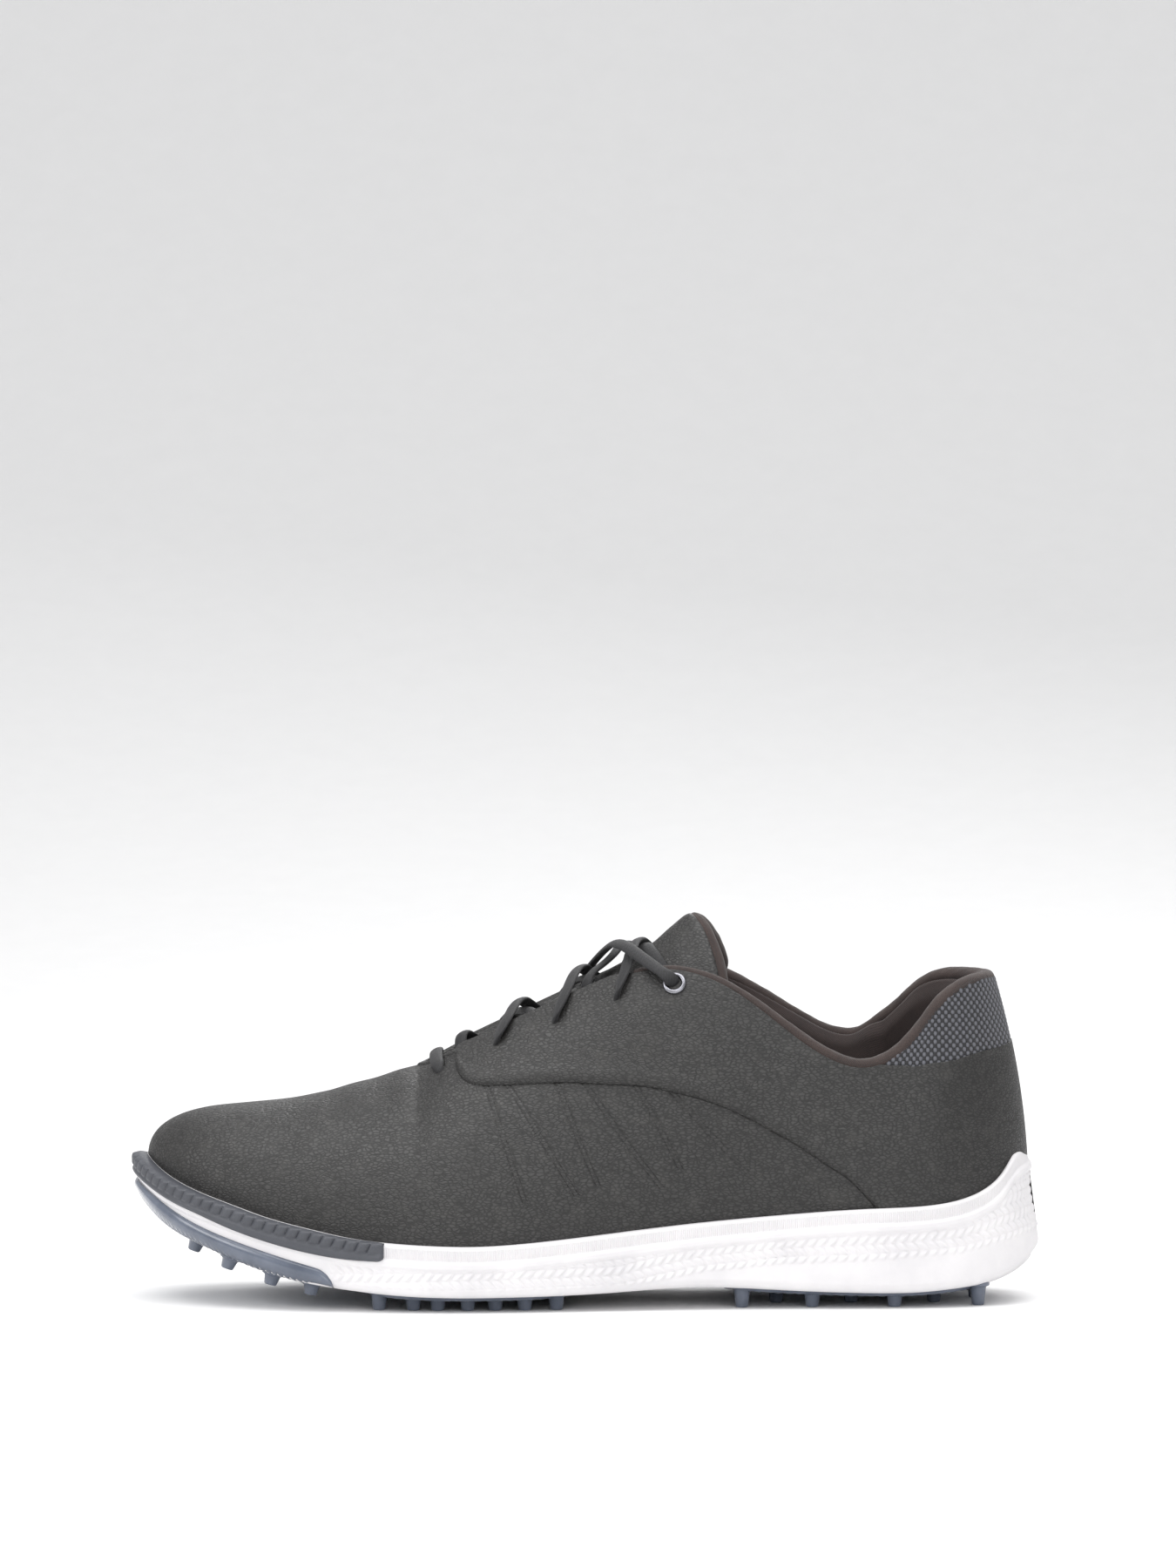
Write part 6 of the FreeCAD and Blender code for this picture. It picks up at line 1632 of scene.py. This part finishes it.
@dataclass
class Lace:
    """The flat braided lace, threaded through all ten eyelets, its ends tucked under the tongue's edge."""

    palette: Palette
    half_width: float = 2.35
    half_height: float = 0.95
    mouth_width: float = 1.6
    step: float = 0.4
    braid: float = 1.05
    # The route of the lace from one tucked tip to the other, in mm.
    route: tuple[tuple[float, float, float], ...] = (
        (-3.4, 28.7, 73.1), (-0.8, 25.2, 89.6), (1.6, 18.9, 98.2), (-1.4, 19.0, 107.1),
        (5.9, 5.7, 116.4), (10.2, -5.4, 119.6), (19.6, -18.7, 113.3), (28.0, -25.5, 108.1),
        (29.7, -16.9, 102.8), (26.3, -12.0, 107.7), (21.4, -4.2, 115.0), (18.4, 5.4, 118.1),
        (12.8, 26.7, 111.1), (9.2, 31.7, 101.5), (11.3, 24.6, 97.9), (7.8, 19.9, 101.7),
        (1.3, 15.0, 107.0), (-3.2, 5.9, 111.1), (-7.5, -11.8, 102.6), (-11.5, -18.1, 94.2),
        (-8.7, -12.5, 88.7), (-12.2, -6.0, 92.1), (-17.9, -0.6, 94.7), (-20.9, 6.5, 95.8),
        (-27.0, 23.2, 93.6), (-30.7, 28.9, 86.6), (-28.4, 23.2, 81.1), (-31.5, 18.6, 82.8),
        (-38.2, 14.6, 85.8), (-42.5, 7.0, 88.6), (-42.3, 1.8, 81.6), (-41.5, -3.5, 78.1),
        (-46.2, -9.4, 72.2), (-49.6, -12.2, 77.3), (-50.6, -3.4, 80.9), (-50.6, 7.3, 82.1),
        (-50.6, 18.0, 80.9), (-49.6, 26.1, 77.2), (-46.3, 22.8, 72.4), (-41.6, 17.9, 78.0),
        (-42.3, 12.5, 81.7), (-40.1, 7.0, 84.6), (-37.3, 0.4, 84.1), (-31.4, -4.9, 82.9),
        (-28.1, -11.0, 80.8), (-31.0, -15.8, 86.9), (-27.0, -9.9, 93.6), (-23.1, 6.5, 99.9),
        (-18.7, 14.7, 96.3), (-12.4, 18.7, 92.1), (-9.1, 23.3, 89.3), (-11.2, 30.0, 93.7),
        (-7.4, 24.2, 102.6), (-0.9, 6.0, 107.0), (2.1, -1.9, 105.5), (8.0, -8.3, 101.7),
        (11.6, -14.8, 97.3), (8.9, -21.0, 102.0), (12.7, -15.4, 111.1), (15.7, 5.4, 120.3),
        (20.6, 16.4, 115.5), (26.2, 22.6, 107.8), (29.4, 26.3, 103.3), (28.5, 35.8, 107.3),
        (19.7, 29.6, 113.3), (11.5, 15.4, 118.2), (8.1, 5.7, 113.3), (-1.6, -7.0, 107.0),
        (1.8, -7.0, 98.2), (0.0, -15.8, 89.3), (-2.4, -24.5, 73.3))

    def centres(self) -> np.ndarray:
        """The lace's middle line, evenly spaced, in mm."""
        data = bpy.data.curves.new("lace_route", "CURVE")
        data.dimensions = "3D"
        data.resolution_u = 16
        line = data.splines.new("NURBS")
        line.points.add(len(self.route) - 1)
        for point, place in zip(line.points, self.route):
            point.co = (*place, 1.0)
        line.order_u = 3
        line.use_endpoint_u = True
        holder = bpy.data.objects.new("lace_route", data)
        mesh = bpy.data.meshes.new_from_object(holder)
        points = np.array([tuple(vertex.co) for vertex in mesh.vertices])
        bpy.data.objects.remove(holder)
        bpy.data.meshes.remove(mesh)
        length = run_length(points)
        even = np.arange(0.0, length[-1], self.step)
        return np.stack([np.interp(even, length, points[:, k]) for k in range(3)], axis=1)

    def build(self, holes: dict[tuple[Side, int], Hole]) -> None:
        """Build and dress the lace.

        Args:
            holes: The eyelets' holes, where the lace bunches up.
        """
        centres = self.centres()
        along = unit(np.gradient(centres, axis=0))
        away = np.full(len(centres), 99.0)
        for hole in holes.values():
            away = np.minimum(away, np.linalg.norm(centres - hole.at(0.0), axis=1))
        spread = blend(1.0, 4.5, away)
        up = np.array([-0.45, 0.0, 0.9])
        across = np.cross(along, up)
        weak = np.linalg.norm(across, axis=1) < 0.35
        across[weak] = np.array([0.9, 0.0, 0.45])
        across = unit(across)
        for i in range(1, len(across)):
            if np.dot(across[i], across[i - 1]) < 0:
                across[i] = -across[i]
        window = np.ones(21) / 21
        smooth = [np.convolve(np.pad(across[:, k], 10, mode="edge"), window, mode="valid") for k in range(3)]
        across = unit(np.stack(smooth, axis=1))
        width = self.mouth_width + (self.half_width - self.mouth_width) * spread
        height = 1.15 - (1.15 - self.half_height) * spread

        def braided(a: np.ndarray, g: np.ndarray) -> np.ndarray:
            """The braid's crowns at a distance along and round the lace."""
            return 0.11 * np.abs(np.sin(PI * (a + g) / self.braid) * np.sin(PI * (a - g) / self.braid))

        build = Build()
        tube(build, centres, across, width, height, steps=32, relief=braided)
        obj = closed(build.finish("threaded_lace", sharp=180))
        stands_for = [name for name in ("lace",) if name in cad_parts]
        dress(obj, self.palette.lace, Slot.LACE, Body.SHOE, *stands_for)
        LOG.info("lace: %.0f mm long", run_length(centres)[-1])


# ---------------------------------------------------------------- pieces kept from the frame


@dataclass
class KeptPieces:
    """The frame's own pieces that still show, each with its finish."""

    palette: Palette

    def build(self) -> None:
        """Give every kept piece a finish."""
        look = self.palette
        finishes = dict.fromkeys(
            ("strobel_board", "toe_puff", "heel_counter", "eyestay_lateral", "eyestay_medial"), look.board)
        finishes |= dict.fromkeys(("insole_foam", "collar_foam"), look.foam)
        finishes |= dict.fromkeys(("insole_cover", "vamp_lining"), look.fleece)
        finishes |= {"midfoot_shank": look.nylon, "aglets": look.shrink}
        for name, material in finishes.items():
            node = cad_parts.get(name)
            if node is None:
                continue
            node.data.materials.clear()
            node.data.materials.append(material)
            node.data.set_sharp_from_angle(angle=math.radians(35))


# ---------------------------------------------------------------- studio


@dataclass
class Studio:
    """The pale sweep, the soft lamps and the camera."""

    distance: float = 3.0
    elevation: float = 4.5
    aim: float = 0.066
    lens: float = 276.0
    shift: float = 0.269

    def build(self) -> None:
        """Build the sweep, lamps, world and camera."""
        self.sweep()
        self.lamp("overhead_softbox", (0.0, -0.15, 1.25), (0.0, 0.0, 0.05), 1.5, 15.0)
        self.lamp("front_softbox", (0.15, -1.7, 0.75), (0.0, 0.0, 0.07), 1.3, 9.0)
        self.lamp("left_softbox", (-1.25, -0.55, 0.8), (0.0, 0.0, 0.07), 0.8, 6.0)
        self.lamp("rear_softbox", (0.3, 1.3, 1.0), (0.0, 0.0, 0.09), 0.9, 7.0)
        world = bpy.data.worlds.new("studio_air")
        world.use_nodes = True
        background = world.node_tree.nodes["Background"]
        background.inputs["Color"].default_value = linear("#f4f4f5")
        background.inputs["Strength"].default_value = 0.7
        bpy.context.scene.world = world
        bpy.context.scene.view_settings.view_transform = "Standard"
        self.camera()

    def sweep(self) -> None:
        """A pale floor that curves up into a backdrop."""
        build = Build()
        bend = np.linspace(0, PI / 2, 40)
        floor = [(-4000.0, 0.0), (0.0, 0.0), (1200.0, 0.0)]
        curve = [(1200 + 1400 * math.sin(a), 1400 * (1 - math.cos(a))) for a in bend[1:]]
        profile = np.array(floor + curve + [(2600.0, 4200.0)])
        x = np.array([-5000.0, -1500.0, 0.0, 1500.0, 5000.0])
        points = np.stack([stack(x, np.full(5, y), np.full(5, z)) for y, z in profile])
        build.grid(points, flip=True)
        obj = build.finish("paper_sweep", sharp=180)
        paper = Moulded("matt_paper", "#f0f0f0", "#eeeeee", 0.9, 3.0, 0.00002).material()
        obj.data.materials.append(paper)

    def lamp(self, name: str, place: tuple[float, float, float], target: tuple[float, float, float],
             size: float, power: float) -> None:
        """Add a soft lamp.

        Args:
            name: The lamp's name.
            place: Where it stands, in metres.
            target: What it points at.
            size: The width of its face, in metres.
            power: Its power in watts.
        """
        data = bpy.data.lights.new(name, "AREA")
        data.shape = "RECTANGLE"
        data.size, data.size_y = size, size * 0.7
        data.energy = power
        obj = bpy.data.objects.new(name, data)
        obj.location = place
        obj.rotation_mode = "QUATERNION"
        obj.rotation_quaternion = (Vector(target) - Vector(place)).to_track_quat("-Z", "Y")
        bpy.context.scene.collection.objects.link(obj)

    def camera(self) -> None:
        """A long lens at the shoe's side, a little above it."""
        data = bpy.data.cameras.new("side_camera")
        data.sensor_fit = "HORIZONTAL"
        data.sensor_width = 36.0
        data.lens = self.lens
        data.shift_y = self.shift
        data.clip_start, data.clip_end = 0.05, 60.0
        obj = bpy.data.objects.new("side_camera", data)
        tilt = math.radians(self.elevation)
        obj.location = (0.0, -self.distance * math.cos(tilt), self.aim + self.distance * math.sin(tilt))
        obj.rotation_euler = (PI / 2 - tilt, 0.0, 0.0)
        bpy.context.scene.collection.objects.link(obj)
        bpy.context.scene.camera = obj


def main() -> None:
    """Build the shoe and its studio."""
    logging.basicConfig(level=logging.INFO)
    palette = Palette()
    eyelets = Eyelets(palette)
    for part in (Sole(palette), Upper(palette), eyelets, Tongue(palette)):
        part.build()
        LOG.info("%s is built", type(part).__name__)
    Lace(palette).build(eyelets.holes())
    KeptPieces(palette).build()
    Studio().build()


if __name__ == "__main__":
    main()
